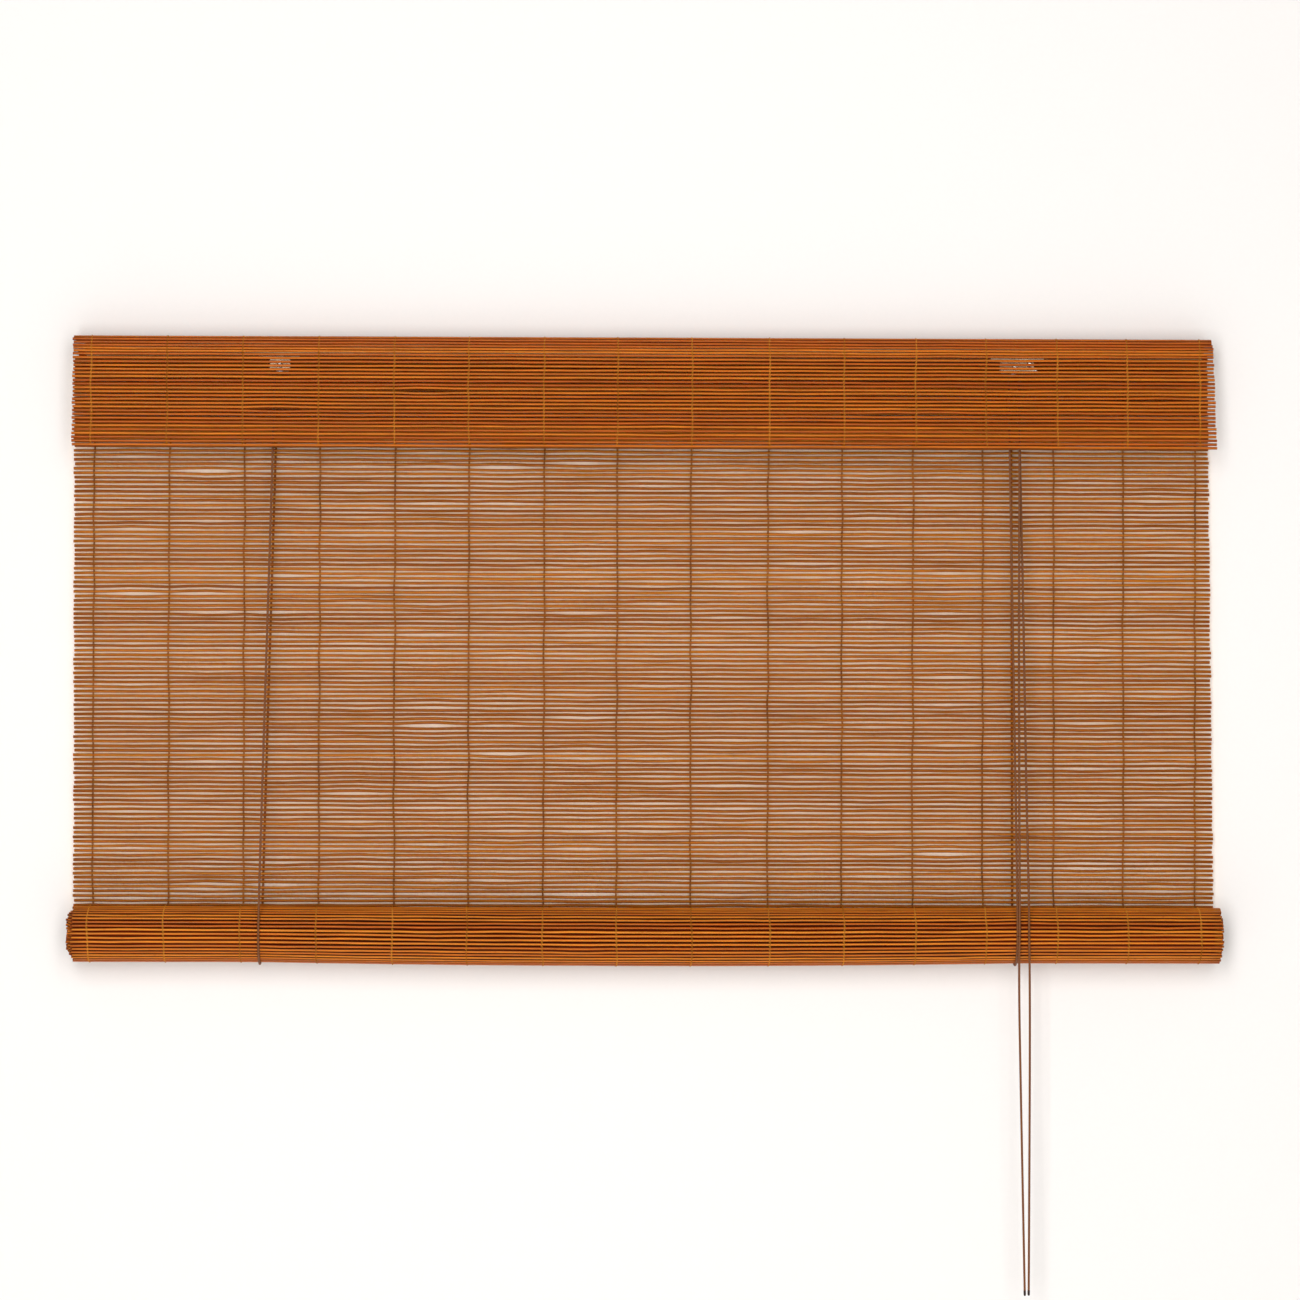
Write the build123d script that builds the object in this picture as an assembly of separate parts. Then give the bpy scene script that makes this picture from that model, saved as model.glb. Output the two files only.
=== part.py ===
from build123d import *
import math
import os

os.makedirs("parts", exist_ok=True)

# A matchstick bamboo roll up blind, hung on a wall and let down part of the way.
# X runs along the blind to the right, Y points to the wall and Z points up.  The origin is
# midway between the two hanging holes, in the plane that lies against the wall.  All sizes
# are in millimetres.

# ---- Woven mat ----
BLIND_WIDTH = 900.0  # length of every bamboo stick
STICK_DIAMETER = 1.85
THREAD_DIAMETER = 0.5
THREAD_CLEARANCE = 0.08  # between a stick and the warp thread that passes over it
DROP_PITCH = 3.59  # stick to stick in the hanging drop
VALANCE_PITCH = 2.95  # stick to stick in the valance flap
WRAP_PITCH = 2.3  # stick to stick where the mat is drawn tight over the batten
REAR_ROWS = (-5.2, -2.6, 2.6)  # heights on the batten's back, open at the screws
VALANCE_LENGTH = 86.9  # top edge of the blind to the foot of the flap
VALANCE_LEAN = 6.0  # how far the flap's foot stands in front of the batten's face
WARP_MARGIN_LEFT = 15.0  # first warp thread to the sticks' left ends
WARP_MARGIN_RIGHT = 13.4
WARP_WIDE_GAPS = 9  # the loom spaced the left part a little wider
WARP_NARROW_GAPS = 6
WARP_SPACING_RATIO = 1.048  # wide gap over narrow gap

# ---- Head batten ----
BATTEN_INSET = 10.0  # each end of the batten stops this far inside the sticks' ends
BATTEN_DEPTH = 24.0
BATTEN_HEIGHT = 13.0
BATTEN_EDGE = 2.5  # rounding of the two top edges

# ---- Hanging straps ----
HANGER_INSET = 70.0  # hanging hole to the sticks' ends
HANGER_HOLE_RADIUS = 4.25
STRAP_THICKNESS = 1.2
STRAP_HEIGHT = 11.0
STRAP_BRIDGE = 18.0  # flat middle that holds the hole
STRAP_RAMP = 5.0
STRAP_FOOT = 9.0
STRAP_STANDOFF = 3.0  # room behind the bridge for a screw's head

# ---- Screws and staples ----
SCREW_RADIUS = 1.3
SCREW_LENGTH = 9.0
SCREW_POINT = 2.0
SCREW_HEAD_RADIUS = 2.5
SCREW_HEAD_HEIGHT = 1.2
PAN_HEAD_HEIGHT = 1.5
SCREW_CLEARANCE = 0.1
PILOT_RADIUS = 0.9
STAPLE_WIRE = 0.6
STAPLE_LEG = 8.0
STAPLE_GAP = 0.1  # between a staple's crown and what it holds
MAT_STAPLE_COUNT = 5
MAT_STAPLE_INSET = 15.0  # outermost mat staple to the end of the hanging strap

# ---- Roll ----
HANG_LENGTH = 469.6  # top edge of the blind to the axis of the roll
ROLL_RADIUS = 22.2
CORE_RADIUS = 6.0
CORE_INSET = 6.0
CORE_CLEARANCE = 0.1
ROLL_SHIFT = 3.0  # the outer turn has crept this far to the right
TELESCOPE_LEFT = 5.5  # how far the inner turns stand out of the outer one
TELESCOPE_RIGHT = 2.0
TELESCOPE_RADIUS = 13.5

# ---- Pulley and cord lock ----
CORD_DIAMETER = 1.8
CORD_CLEARANCE = 0.3  # between a cord and a piece that moves beside it
PITCH_RADIUS = 4.3  # axle to the middle of a cord on a wheel
FLANGE_RISE = 0.6  # a wheel's flanges stand this far outside the middle of its cord
WHEEL_WIDTH = 4.6
GROOVE_CLEARANCE = 0.2
AXLE_RADIUS = 1.5
RUNNING_CLEARANCE = 0.05
FIXED_CLEARANCE = 0.02
RIVET_HEAD_RADIUS = 2.4
RIVET_HEAD_HEIGHT = 0.8
SHEET = 1.2  # thickness of the pressed steel
WHEEL_ROOM = 1.0  # wheel's rim to the plate above it
CHEEK_BELOW_AXLE = 4.4
WHEEL_SIDE_PLAY = 0.2
PULLEY_INSET = 162.1  # left wheel's axle to the sticks' left ends
PULLEY_CHEEK_WIDTH = 16.0
PULLEY_PLATE_WIDTH = 31.0
LOCK_INSET = 158.8  # lock wheels' axle to the sticks' right ends
LOCK_Y = -14.0  # middle of the lock, from the middle of the mat
LOCK_CHEEK_WIDTH = 26.0
LOCK_PLATE_WIDTH = 42.0
LOCK_CHEEK_SHIFT = 2.0  # the cheeks reach further on the dog's side
WASHER_THICKNESS = 0.6
WASHER_PLAY = 0.1
DOG_PIVOT_X = 11.8  # right of the wheels' axle
DOG_PIVOT_Z = 2.3  # above the wheels' axle
DOG_HUB_RADIUS = 2.3
DOG_PIN_RADIUS = 1.2
DOG_TEETH = 5
DOG_TOOTH_DEPTH = 0.35
DOG_NOSE_MIDDLE = 200.0  # degrees, from the pivot
DOG_NOSE_SPREAD = 26.0
DOG_TAIL_ANGLE = -50.0
DOG_TAIL_LENGTH = 8.0
DOG_TAIL_THICKNESS = 3.0

# ---- Cords ----
LEFT_SWAY = -9.2  # the left bight lies this far from the pulley's hanging cord
RIGHT_SWAY = 5.1
LEFT_FIXED_OFFSET = 2.2  # fixed end of the left cord from the pulley's hanging cord
RIGHT_FIXED_OFFSET = 3.7
CORD_END_ABOVE = 5.0  # fixed cord ends stop this far above the middle of the batten
PULL_LENGTH = 727.9  # pull cords, from the lock's axle to their ends
PULL_STRAIGHT = 9.0  # a pull cord leaves its wheel straight down this far
# Each pull cord above the roll: (share of the way down to its top, sideways offset).
FRONT_PULL_SWAY = ((0.0, 0.0), (0.06, -0.1), (0.23, -0.6), (0.49, -1.6), (0.77, -1.9), (1.0, -2.1))
REAR_PULL_SWAY = ((0.0, 0.0), (0.09, 0.1), (0.3, 1.5), (0.51, 2.7), (0.79, 3.9), (1.0, 5.5))
# Below the roll's axis: (share of the way down to the end, sideways offset).
FRONT_PULL_TAIL = ((0.0, -2.1), (0.09, -2.9), (0.46, -0.9), (1.0, 2.3))
REAR_PULL_TAIL = ((0.0, 5.5), (0.11, 6.2), (0.53, 6.1), (1.0, 5.5))
CORD_STACK = 1.7  # the front pull cord crosses the lift cord this far in front of it

# ---- Places that follow from the sizes above ----
STICK_RADIUS = STICK_DIAMETER / 2
CORD_RADIUS = CORD_DIAMETER / 2
HALF_WIDTH = BLIND_WIDTH / 2
HALF_BATTEN = BATTEN_HEIGHT / 2
THREAD_STACK = THREAD_CLEARANCE + THREAD_DIAMETER  # a warp thread stands this far off the sticks
MAT_REAR = -STRAP_THICKNESS - STRAP_STANDOFF
MAT_Y = MAT_REAR - THREAD_STACK - STICK_RADIUS
BATTEN_REAR = MAT_Y - STICK_RADIUS
BATTEN_FRONT = BATTEN_REAR - BATTEN_DEPTH
FRONT_Y = BATTEN_FRONT - STICK_RADIUS
TOP_ROW_Z = HALF_BATTEN + STICK_RADIUS
BLIND_TOP = HALF_BATTEN + STICK_DIAMETER
VALANCE_FOOT = BLIND_TOP - VALANCE_LENGTH
ROLL_Z = BLIND_TOP - HANG_LENGTH
ROLL_Y = MAT_REAR - ROLL_RADIUS
BIGHT_RADIUS = ROLL_RADIUS + CORD_CLEARANCE + CORD_RADIUS
# The drop stops where its lowest stick would meet the roll.
DROP_FOOT = ROLL_Z + math.sqrt(
    (ROLL_RADIUS + STICK_RADIUS + CORD_CLEARANCE) ** 2 - (MAT_Y - ROLL_Y) ** 2
)
FLANGE_RADIUS = PITCH_RADIUS + FLANGE_RISE
AXLE_Z = -HALF_BATTEN - SHEET - WHEEL_ROOM - FLANGE_RADIUS
WHEEL_HALF_STEP = WASHER_THICKNESS / 2 + WASHER_PLAY + WHEEL_WIDTH / 2
LOCK_HALF_ROOM = WHEEL_HALF_STEP + WHEEL_WIDTH / 2 + WHEEL_SIDE_PLAY
LOCK_X = HALF_WIDTH - LOCK_INSET
LOCK_MID_Y = MAT_Y + LOCK_Y
FRONT_WHEEL_Y = LOCK_MID_Y - WHEEL_HALF_STEP
REAR_WHEEL_Y = LOCK_MID_Y + WHEEL_HALF_STEP
PULLEY_X = -HALF_WIDTH + PULLEY_INSET
PULLEY_Y = REAR_WHEEL_Y
PULLEY_HALF_ROOM = WHEEL_WIDTH / 2 + WHEEL_SIDE_PLAY
LEFT_CORD_X = PULLEY_X - PITCH_RADIUS
RIGHT_CORD_X = LOCK_X - PITCH_RADIUS
PULL_X = LOCK_X + PITCH_RADIUS
LEFT_BIGHT_X = LEFT_CORD_X + LEFT_SWAY
RIGHT_BIGHT_X = RIGHT_CORD_X + RIGHT_SWAY
BIGHT_FRONT_Y = ROLL_Y - BIGHT_RADIUS
BIGHT_REAR_Y = ROLL_Y + BIGHT_RADIUS
HANGER_X = HALF_WIDTH - HANGER_INSET


# ---- Small helpers ----
def save(name, *solids):
    """Write one node, which holds one solid or a group of separate ones."""
    shape = solids[0] if len(solids) == 1 else Compound(children=list(solids))
    export_step(shape, f"parts/{name}.step")


def rod(radius, start, end):
    """A straight round bar between two points."""
    a, b = Vector(*start), Vector(*end)
    return extrude(Plane(origin=a, z_dir=b - a) * Circle(radius), (b - a).length)


def turned(profile):
    """A solid turned about Z from its half profile of (radius, height) points."""
    return revolve(make_face(Polyline(*[(r, 0, h) for r, h in profile], close=True)), Axis.Z)


def corner_radii(points):
    """The largest comfortable radius at each inner point of a cord's route."""
    radii = []
    for before, at, after in zip(points, points[1:], points[2:]):
        a, b = Vector(*at) - Vector(*before), Vector(*after) - Vector(*at)
        half_turn = math.radians(a.get_angle(b)) / 2
        radii.append(0.45 * min(a.length, b.length) / math.tan(half_turn))
    return radii


def tube(name, diameter, points, radii=None):
    """A round cord along straight runs joined by tangent arcs."""
    radii = radii or corner_radii(points)
    path = FilletPolyline(*points, radius=radii)
    section = Plane(origin=path @ 0, z_dir=path % 0) * Circle(diameter / 2)
    solid = sweep(section, path=path)
    share = solid.volume / (math.pi * diameter**2 / 4 * path.length)
    print(name, "length", round(path.length, 1), "radii", [round(r) for r in radii],
          "volume share", round(share, 4))
    return solid


def stick(y, z):
    """One bamboo stick, which lies along X."""
    return rod(STICK_RADIUS, (-HALF_WIDTH, y, z), (HALF_WIDTH, y, z))


def warp_places():
    """Where the warp threads cross the sticks, from left to right."""
    woven = BLIND_WIDTH - WARP_MARGIN_LEFT - WARP_MARGIN_RIGHT
    narrow = woven / (WARP_WIDE_GAPS * WARP_SPACING_RATIO + WARP_NARROW_GAPS)
    places = [-HALF_WIDTH + WARP_MARGIN_LEFT]
    for gap in range(WARP_WIDE_GAPS + WARP_NARROW_GAPS):
        wide = gap < WARP_WIDE_GAPS
        places.append(places[-1] + narrow * (WARP_SPACING_RATIO if wide else 1.0))
    return places


# ---- The mat over the batten and the valance flap ----
def wrap_point(distance):
    """Middle of the mat at a distance along its way up the batten's front and over the top."""
    bend = BATTEN_EDGE + STICK_RADIUS
    side = BATTEN_HEIGHT - BATTEN_EDGE
    arc = bend * math.pi / 2
    top = BATTEN_DEPTH - 2 * BATTEN_EDGE
    shoulder = HALF_BATTEN - BATTEN_EDGE
    if distance < side:
        return FRONT_Y, -HALF_BATTEN + distance
    distance -= side
    if distance < arc:
        turn = distance / bend
        return FRONT_Y + bend - bend * math.cos(turn), shoulder + bend * math.sin(turn)
    distance -= arc
    if distance < top:
        return FRONT_Y + bend + distance, TOP_ROW_Z
    distance -= top
    if distance < arc:
        turn = distance / bend
        return MAT_Y - bend + bend * math.sin(turn), shoulder + bend * math.cos(turn)
    return MAT_Y, shoulder - (distance - arc)


def flap_y(z, offset=0.0):
    """Y of the leaning flap at a height, offset towards the room."""
    share = (-HALF_BATTEN - z) / (-HALF_BATTEN - VALANCE_FOOT)
    return FRONT_Y - VALANCE_LEAN * share - offset


def wrap_sticks():
    """The sticks over the batten: its front, its top and the upper part of its back."""
    sticks = []
    distance = WRAP_PITCH / 4
    while True:
        y, z = wrap_point(distance)
        if y > BATTEN_REAR and z < REAR_ROWS[-1] + STICK_DIAMETER + STAPLE_WIRE + 4 * STAPLE_GAP:
            break
        sticks.append(stick(y, z))
        distance += WRAP_PITCH
    return sticks + [stick(MAT_Y, z) for z in REAR_ROWS]


def flap_sticks():
    """The sticks of the valance flap below the batten."""
    foot = VALANCE_FOOT + STICK_RADIUS
    count = math.floor((-HALF_BATTEN - STICK_RADIUS - foot) / VALANCE_PITCH) + 1
    heights = [foot + row * VALANCE_PITCH for row in range(count)]
    return [stick(flap_y(z), z) for z in heights]


THREAD_OFFSET = STICK_RADIUS + THREAD_CLEARANCE + THREAD_DIAMETER / 2
outer_bend = BATTEN_EDGE + STICK_RADIUS + THREAD_OFFSET
outer_route = [
    (0, MAT_Y + THREAD_OFFSET, -HALF_BATTEN),
    (0, MAT_Y + THREAD_OFFSET, TOP_ROW_Z + THREAD_OFFSET),
    (0, FRONT_Y - THREAD_OFFSET, TOP_ROW_Z + THREAD_OFFSET),
    (0, FRONT_Y - THREAD_OFFSET, -HALF_BATTEN),
    (0, flap_y(VALANCE_FOOT, THREAD_OFFSET), VALANCE_FOOT),
]
outer_thread = tube(
    "valance thread", THREAD_DIAMETER, outer_route, [outer_bend, outer_bend, BATTEN_HEIGHT]
)
inner_top = -HALF_BATTEN - STICK_DIAMETER
inner_thread = rod(
    THREAD_DIAMETER / 2,
    (0, flap_y(inner_top, -THREAD_OFFSET), inner_top),
    (0, flap_y(VALANCE_FOOT, -THREAD_OFFSET), VALANCE_FOOT),
)
save("valance_sticks", *wrap_sticks(), *flap_sticks())
save(
    "valance_threads",
    *[Pos(x, 0, 0) * thread for x in warp_places() for thread in (outer_thread, inner_thread)],
)


# ---- The drop ----
def drop_sticks():
    """The sticks of the free drop, from below the batten to the roll."""
    top = -HALF_BATTEN - STICK_DIAMETER
    count = math.floor((top - DROP_FOOT) / DROP_PITCH) + 1
    return [stick(MAT_Y, DROP_FOOT + row * DROP_PITCH) for row in range(count)]


def drop_thread(side, top):
    """One straight warp thread on one side of the drop, down to where it would meet the roll."""
    y = MAT_Y + side * THREAD_OFFSET
    nearest = y - THREAD_DIAMETER / 2 - ROLL_Y
    reach = ROLL_RADIUS + CORD_CLEARANCE
    foot = ROLL_Z + math.sqrt(max(reach**2 - nearest**2, (DROP_FOOT - ROLL_Z) ** 2))
    return rod(THREAD_DIAMETER / 2, (0, y, foot), (0, y, top))


save("drop_sticks", *drop_sticks())
drop_pair = (drop_thread(-1, -HALF_BATTEN - STICK_DIAMETER), drop_thread(1, -HALF_BATTEN))
save("drop_threads", *[Pos(x, 0, 0) * thread for x in warp_places() for thread in drop_pair])


# ---- The roll and the dowel in it ----
left_end = -HALF_WIDTH + ROLL_SHIFT
right_end = HALF_WIDTH + ROLL_SHIFT
bore = CORE_RADIUS + CORE_CLEARANCE
roll_profile = [
    (bore, left_end - TELESCOPE_LEFT),
    (TELESCOPE_RADIUS, left_end - TELESCOPE_LEFT),
    (ROLL_RADIUS, left_end),
    (ROLL_RADIUS, right_end),
    (TELESCOPE_RADIUS, right_end + TELESCOPE_RIGHT),
    (bore, right_end + TELESCOPE_RIGHT),
]
roll_place = Pos(0, ROLL_Y, ROLL_Z) * Rot(0, 90, 0)
save("roll_mat", roll_place * turned(roll_profile))
core_half = HALF_WIDTH - CORE_INSET
save(
    "bottom_dowel",
    rod(CORE_RADIUS, (ROLL_SHIFT - core_half, ROLL_Y, ROLL_Z), (ROLL_SHIFT + core_half, ROLL_Y, ROLL_Z)),
)


# ---- Screws ----
def countersunk_screw():
    """A flat headed wood screw that points up, with its head's face at the origin."""
    neck = SCREW_HEAD_HEIGHT
    return turned([
        (0, 0),
        (SCREW_HEAD_RADIUS, 0),
        (SCREW_RADIUS, neck),
        (SCREW_RADIUS, SCREW_LENGTH - SCREW_POINT),
        (0, SCREW_LENGTH),
    ])


def pan_screw():
    """A pan headed wood screw that points up, with the underside of its head at the origin."""
    return turned([
        (0, -PAN_HEAD_HEIGHT),
        (SCREW_HEAD_RADIUS * 0.7, -PAN_HEAD_HEIGHT),
        (SCREW_HEAD_RADIUS, -PAN_HEAD_HEIGHT / 2),
        (SCREW_HEAD_RADIUS, 0),
        (SCREW_RADIUS, 0),
        (SCREW_RADIUS, SCREW_LENGTH - SCREW_POINT),
        (0, SCREW_LENGTH),
    ])


def countersink():
    """The cut that a countersunk screw sits in, a little wider than the screw."""
    wide, slim = SCREW_HEAD_RADIUS + SCREW_CLEARANCE, SCREW_RADIUS + SCREW_CLEARANCE
    return turned([(0, 0), (wide, 0), (slim, SCREW_HEAD_HEIGHT), (slim, SHEET * 2), (0, SHEET * 2)])


# ---- Hanging straps ----
strap_screw_x = STRAP_BRIDGE / 2 + STRAP_RAMP + STRAP_FOOT / 2
hanger_screw_places = [
    (side * HANGER_X + way * strap_screw_x) for side in (-1, 1) for way in (-1, 1)
]


def hanging_strap(x):
    """A pressed strap whose raised bridge holds the hanging hole."""
    bridge, ramp = STRAP_BRIDGE / 2, STRAP_BRIDGE / 2 + STRAP_RAMP
    end = ramp + STRAP_FOOT
    deep, thick = STRAP_STANDOFF, STRAP_THICKNESS
    rear = [(-end, -deep), (-ramp, -deep), (-bridge, 0), (bridge, 0), (ramp, -deep), (end, -deep)]
    outline = rear + [(u, v - thick) for u, v in reversed(rear)]
    face = make_face(Polyline(*outline, close=True))
    strap = Pos(x, 0, -STRAP_HEIGHT / 2) * extrude(face, STRAP_HEIGHT)
    front = MAT_REAR
    strap -= rod(HANGER_HOLE_RADIUS, (x, front, 0), (x, thick, 0))
    hole = SCREW_RADIUS + SCREW_CLEARANCE
    for way in (-1, 1):
        strap -= rod(hole, (x + way * strap_screw_x, front - 1, 0), (x + way * strap_screw_x, 0, 0))
    return strap


save("left_hanging_strap", hanging_strap(-HANGER_X))
save("right_hanging_strap", hanging_strap(HANGER_X))
foot_face = -STRAP_STANDOFF
save(
    "hanger_screws",
    *[Pos(x, foot_face, 0) * Rot(90, 0, 0) * pan_screw() for x in hanger_screw_places],
)


# ---- Staples ----
def staple(x, z, along_x, span, crown_y):
    """A U of wire driven towards the room, with its crown at crown_y."""
    half = span / 2
    step = (half, 0) if along_x else (0, half)
    a = (x - step[0], crown_y, z - step[1])
    b = (x + step[0], crown_y, z + step[1])
    wire = STAPLE_WIRE / 2
    crown = rod(wire, a, b) + Pos(*a) * Sphere(wire) + Pos(*b) * Sphere(wire)
    for x_leg, y_leg, z_leg in (a, b):
        crown += rod(wire, (x_leg, y_leg, z_leg), (x_leg, y_leg - STAPLE_LEG, z_leg))
    return crown


mat_crown = MAT_REAR + STAPLE_GAP + STAPLE_WIRE / 2
staple_low = 0.0
staple_high = REAR_ROWS[-1] + STICK_RADIUS + STAPLE_GAP + STAPLE_WIRE / 2
staple_reach = HANGER_X - STRAP_BRIDGE / 2 - STRAP_RAMP - STRAP_FOOT - MAT_STAPLE_INSET
mat_staple_places = [
    staple_reach * (2 * i / (MAT_STAPLE_COUNT - 1) - 1) for i in range(MAT_STAPLE_COUNT)
]
save(
    "mat_staples",
    *[
        staple(x, (staple_low + staple_high) / 2, False, staple_high - staple_low, mat_crown)
        for x in mat_staple_places
    ],
)
cord_crown = BIGHT_REAR_Y + CORD_RADIUS + STAPLE_GAP + STAPLE_WIRE / 2
cord_span = CORD_DIAMETER + 2 * STAPLE_GAP + STAPLE_WIRE
left_fixed_x = LEFT_CORD_X + LEFT_FIXED_OFFSET
right_fixed_x = RIGHT_CORD_X + RIGHT_FIXED_OFFSET
cord_staple_z = -STAPLE_WIRE
save(
    "cord_staples",
    *[staple(x, cord_staple_z, True, cord_span + 0.1, cord_crown) for x in (left_fixed_x, right_fixed_x)],
)


# ---- Head batten ----
plate_face = -HALF_BATTEN - SHEET
pulley_screw_reach = (PULLEY_CHEEK_WIDTH + PULLEY_PLATE_WIDTH) / 4
lock_screw_reach = (LOCK_CHEEK_WIDTH + LOCK_PLATE_WIDTH) / 4
lock_plate_x = LOCK_X + LOCK_CHEEK_SHIFT
plate_screw_places = {
    "left_pulley_screws": [(PULLEY_X + way * pulley_screw_reach, PULLEY_Y) for way in (-1, 1)],
    "cord_lock_screws": [(lock_plate_x + way * lock_screw_reach, LOCK_MID_Y) for way in (-1, 1)],
}
batten_y = (BATTEN_REAR + BATTEN_FRONT) / 2
batten = Pos(0, batten_y, 0) * Box(BLIND_WIDTH - 2 * BATTEN_INSET, BATTEN_DEPTH, BATTEN_HEIGHT)
top_edges = batten.edges().filter_by(Axis.X).group_by(Axis.Z)[-1]
batten = fillet(top_edges, BATTEN_EDGE)
for places in plate_screw_places.values():
    for x, y in places:
        batten -= rod(PILOT_RADIUS, (x, y, plate_face), (x, y, plate_face + SCREW_LENGTH))
for x in hanger_screw_places:
    batten -= rod(PILOT_RADIUS, (x, foot_face, 0), (x, foot_face - SCREW_LENGTH, 0))
save("head_batten", batten)


# ---- Wheels, axles and their holders ----
def wheel(x, y):
    """A grooved wheel on an axle that lies along Y."""
    half = WHEEL_WIDTH / 2
    groove = PITCH_RADIUS - CORD_RADIUS - GROOVE_CLEARANCE
    mouth = CORD_RADIUS + GROOVE_CLEARANCE * 3
    floor = CORD_RADIUS
    hole = AXLE_RADIUS + RUNNING_CLEARANCE
    profile = [
        (hole, -half),
        (FLANGE_RADIUS, -half),
        (FLANGE_RADIUS, -mouth),
        (groove, -floor),
        (groove, floor),
        (FLANGE_RADIUS, mouth),
        (FLANGE_RADIUS, half),
        (hole, half),
    ]
    return Pos(x, y, AXLE_Z) * Rot(90, 0, 0) * turned(profile)


def rivet(x, y, z, radius, half_room):
    """An axle with a head outside each cheek."""
    outside = half_room + SHEET
    profile = [
        (0, -outside - RIVET_HEAD_HEIGHT),
        (RIVET_HEAD_RADIUS * 0.6, -outside - RIVET_HEAD_HEIGHT),
        (RIVET_HEAD_RADIUS, -outside),
        (radius, -outside),
        (radius, outside),
        (RIVET_HEAD_RADIUS, outside),
        (RIVET_HEAD_RADIUS * 0.6, outside + RIVET_HEAD_HEIGHT),
        (0, outside + RIVET_HEAD_HEIGHT),
    ]
    return Pos(x, y, z) * Rot(90, 0, 0) * turned(profile)


def holder(x, y, plate_width, cheek_width, half_room, holes, screws):
    """A pressed plate with a cheek on each side, and holes for its axles and screws."""
    outside = half_room + SHEET
    plate = Pos(x, y, plate_face + SHEET / 2) * Box(plate_width, 2 * outside, SHEET)
    foot = AXLE_Z - CHEEK_BELOW_AXLE
    drop = plate_face - foot
    for way in (-1, 1):
        cheek_y = y + way * (half_room + SHEET / 2)
        cheek = Pos(x, cheek_y, foot + drop / 2) * Box(cheek_width, SHEET, drop)
        corners = cheek.edges().filter_by(Axis.Y).group_by(Axis.Z)[0]
        plate += fillet(corners, drop / 4)
    for hole_x, hole_z, radius in holes:
        hole = radius + FIXED_CLEARANCE
        plate -= rod(hole, (hole_x, y - outside, hole_z), (hole_x, y + outside, hole_z))
    for screw_x, screw_y in screws:
        plate -= Pos(screw_x, screw_y, plate_face) * countersink()
    return plate


for node, places in plate_screw_places.items():
    save(node, *[Pos(x, y, plate_face) * countersunk_screw() for x, y in places])
save(
    "left_pulley_bracket",
    holder(
        PULLEY_X, PULLEY_Y, PULLEY_PLATE_WIDTH, PULLEY_CHEEK_WIDTH, PULLEY_HALF_ROOM,
        [(PULLEY_X, AXLE_Z, AXLE_RADIUS)], plate_screw_places["left_pulley_screws"],
    ),
)
save("left_pulley_wheel", wheel(PULLEY_X, PULLEY_Y))
save("left_pulley_axle", rivet(PULLEY_X, PULLEY_Y, AXLE_Z, AXLE_RADIUS, PULLEY_HALF_ROOM))

dog_x, dog_z = LOCK_X + DOG_PIVOT_X, AXLE_Z + DOG_PIVOT_Z
save(
    "cord_lock_housing",
    holder(
        lock_plate_x, LOCK_MID_Y, LOCK_PLATE_WIDTH, LOCK_CHEEK_WIDTH, LOCK_HALF_ROOM,
        [(LOCK_X, AXLE_Z, AXLE_RADIUS), (dog_x, dog_z, DOG_PIN_RADIUS)],
        plate_screw_places["cord_lock_screws"],
    ),
)
save("cord_lock_front_wheel", wheel(LOCK_X, FRONT_WHEEL_Y))
save("cord_lock_rear_wheel", wheel(LOCK_X, REAR_WHEEL_Y))
save("cord_lock_axle", rivet(LOCK_X, LOCK_MID_Y, AXLE_Z, AXLE_RADIUS, LOCK_HALF_ROOM))
save("cord_lock_dog_pin", rivet(dog_x, LOCK_MID_Y, dog_z, DOG_PIN_RADIUS, LOCK_HALF_ROOM))
washer_bore = AXLE_RADIUS + RUNNING_CLEARANCE
save(
    "cord_lock_washer",
    Pos(LOCK_X, LOCK_MID_Y, AXLE_Z) * Rot(90, 0, 0) * turned([
        (washer_bore, -WASHER_THICKNESS / 2),
        (washer_bore + 1, -WASHER_THICKNESS / 2),
        (washer_bore + 1, WASHER_THICKNESS / 2),
        (washer_bore, WASHER_THICKNESS / 2),
    ]),
)


def locking_dog():
    """The toothed dog that pinches both cords against the wheels, with a heavier tail."""
    width = 2 * (LOCK_HALF_ROOM - CORD_CLEARANCE)
    reach_x = DOG_PIVOT_X - PITCH_RADIUS - CORD_RADIUS - CORD_CLEARANCE
    reach = reach_x / math.cos(math.radians(DOG_NOSE_MIDDLE - 180))
    first = DOG_NOSE_MIDDLE - DOG_NOSE_SPREAD / 2
    step = DOG_NOSE_SPREAD / (2 * DOG_TEETH)
    edge = [(0, 0)]
    for i in range(2 * DOG_TEETH + 1):
        radius = reach - (DOG_TOOTH_DEPTH if i % 2 else 0.0)
        angle = math.radians(first + i * step)
        edge.append((radius * math.cos(angle), radius * math.sin(angle)))
    nose = make_face(Polyline(*edge, close=True))
    tail = Rot(0, 0, DOG_TAIL_ANGLE) * (
        Pos(DOG_TAIL_LENGTH / 2, 0) * Rectangle(DOG_TAIL_LENGTH, DOG_TAIL_THICKNESS)
    )
    shape = nose + Circle(DOG_HUB_RADIUS) + tail
    shape -= Circle(DOG_PIN_RADIUS + RUNNING_CLEARANCE)
    solid = extrude(shape, width / 2, both=True)
    return Pos(dog_x, LOCK_MID_Y, dog_z) * Rot(90, 0, 0) * solid


save("cord_lock_dog", locking_dog())


# ---- Lift cords ----
def bight(x):
    """The half turn of a lift cord that carries the roll."""
    path = CenterArc((0, 0), BIGHT_RADIUS, 180, 180)
    ring = sweep(Plane(origin=path @ 0, z_dir=path % 0) * Circle(CORD_RADIUS), path=path)
    return Plane(origin=(x, ROLL_Y, ROLL_Z), x_dir=(0, 1, 0), z_dir=(1, 0, 0)) * ring


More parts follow.
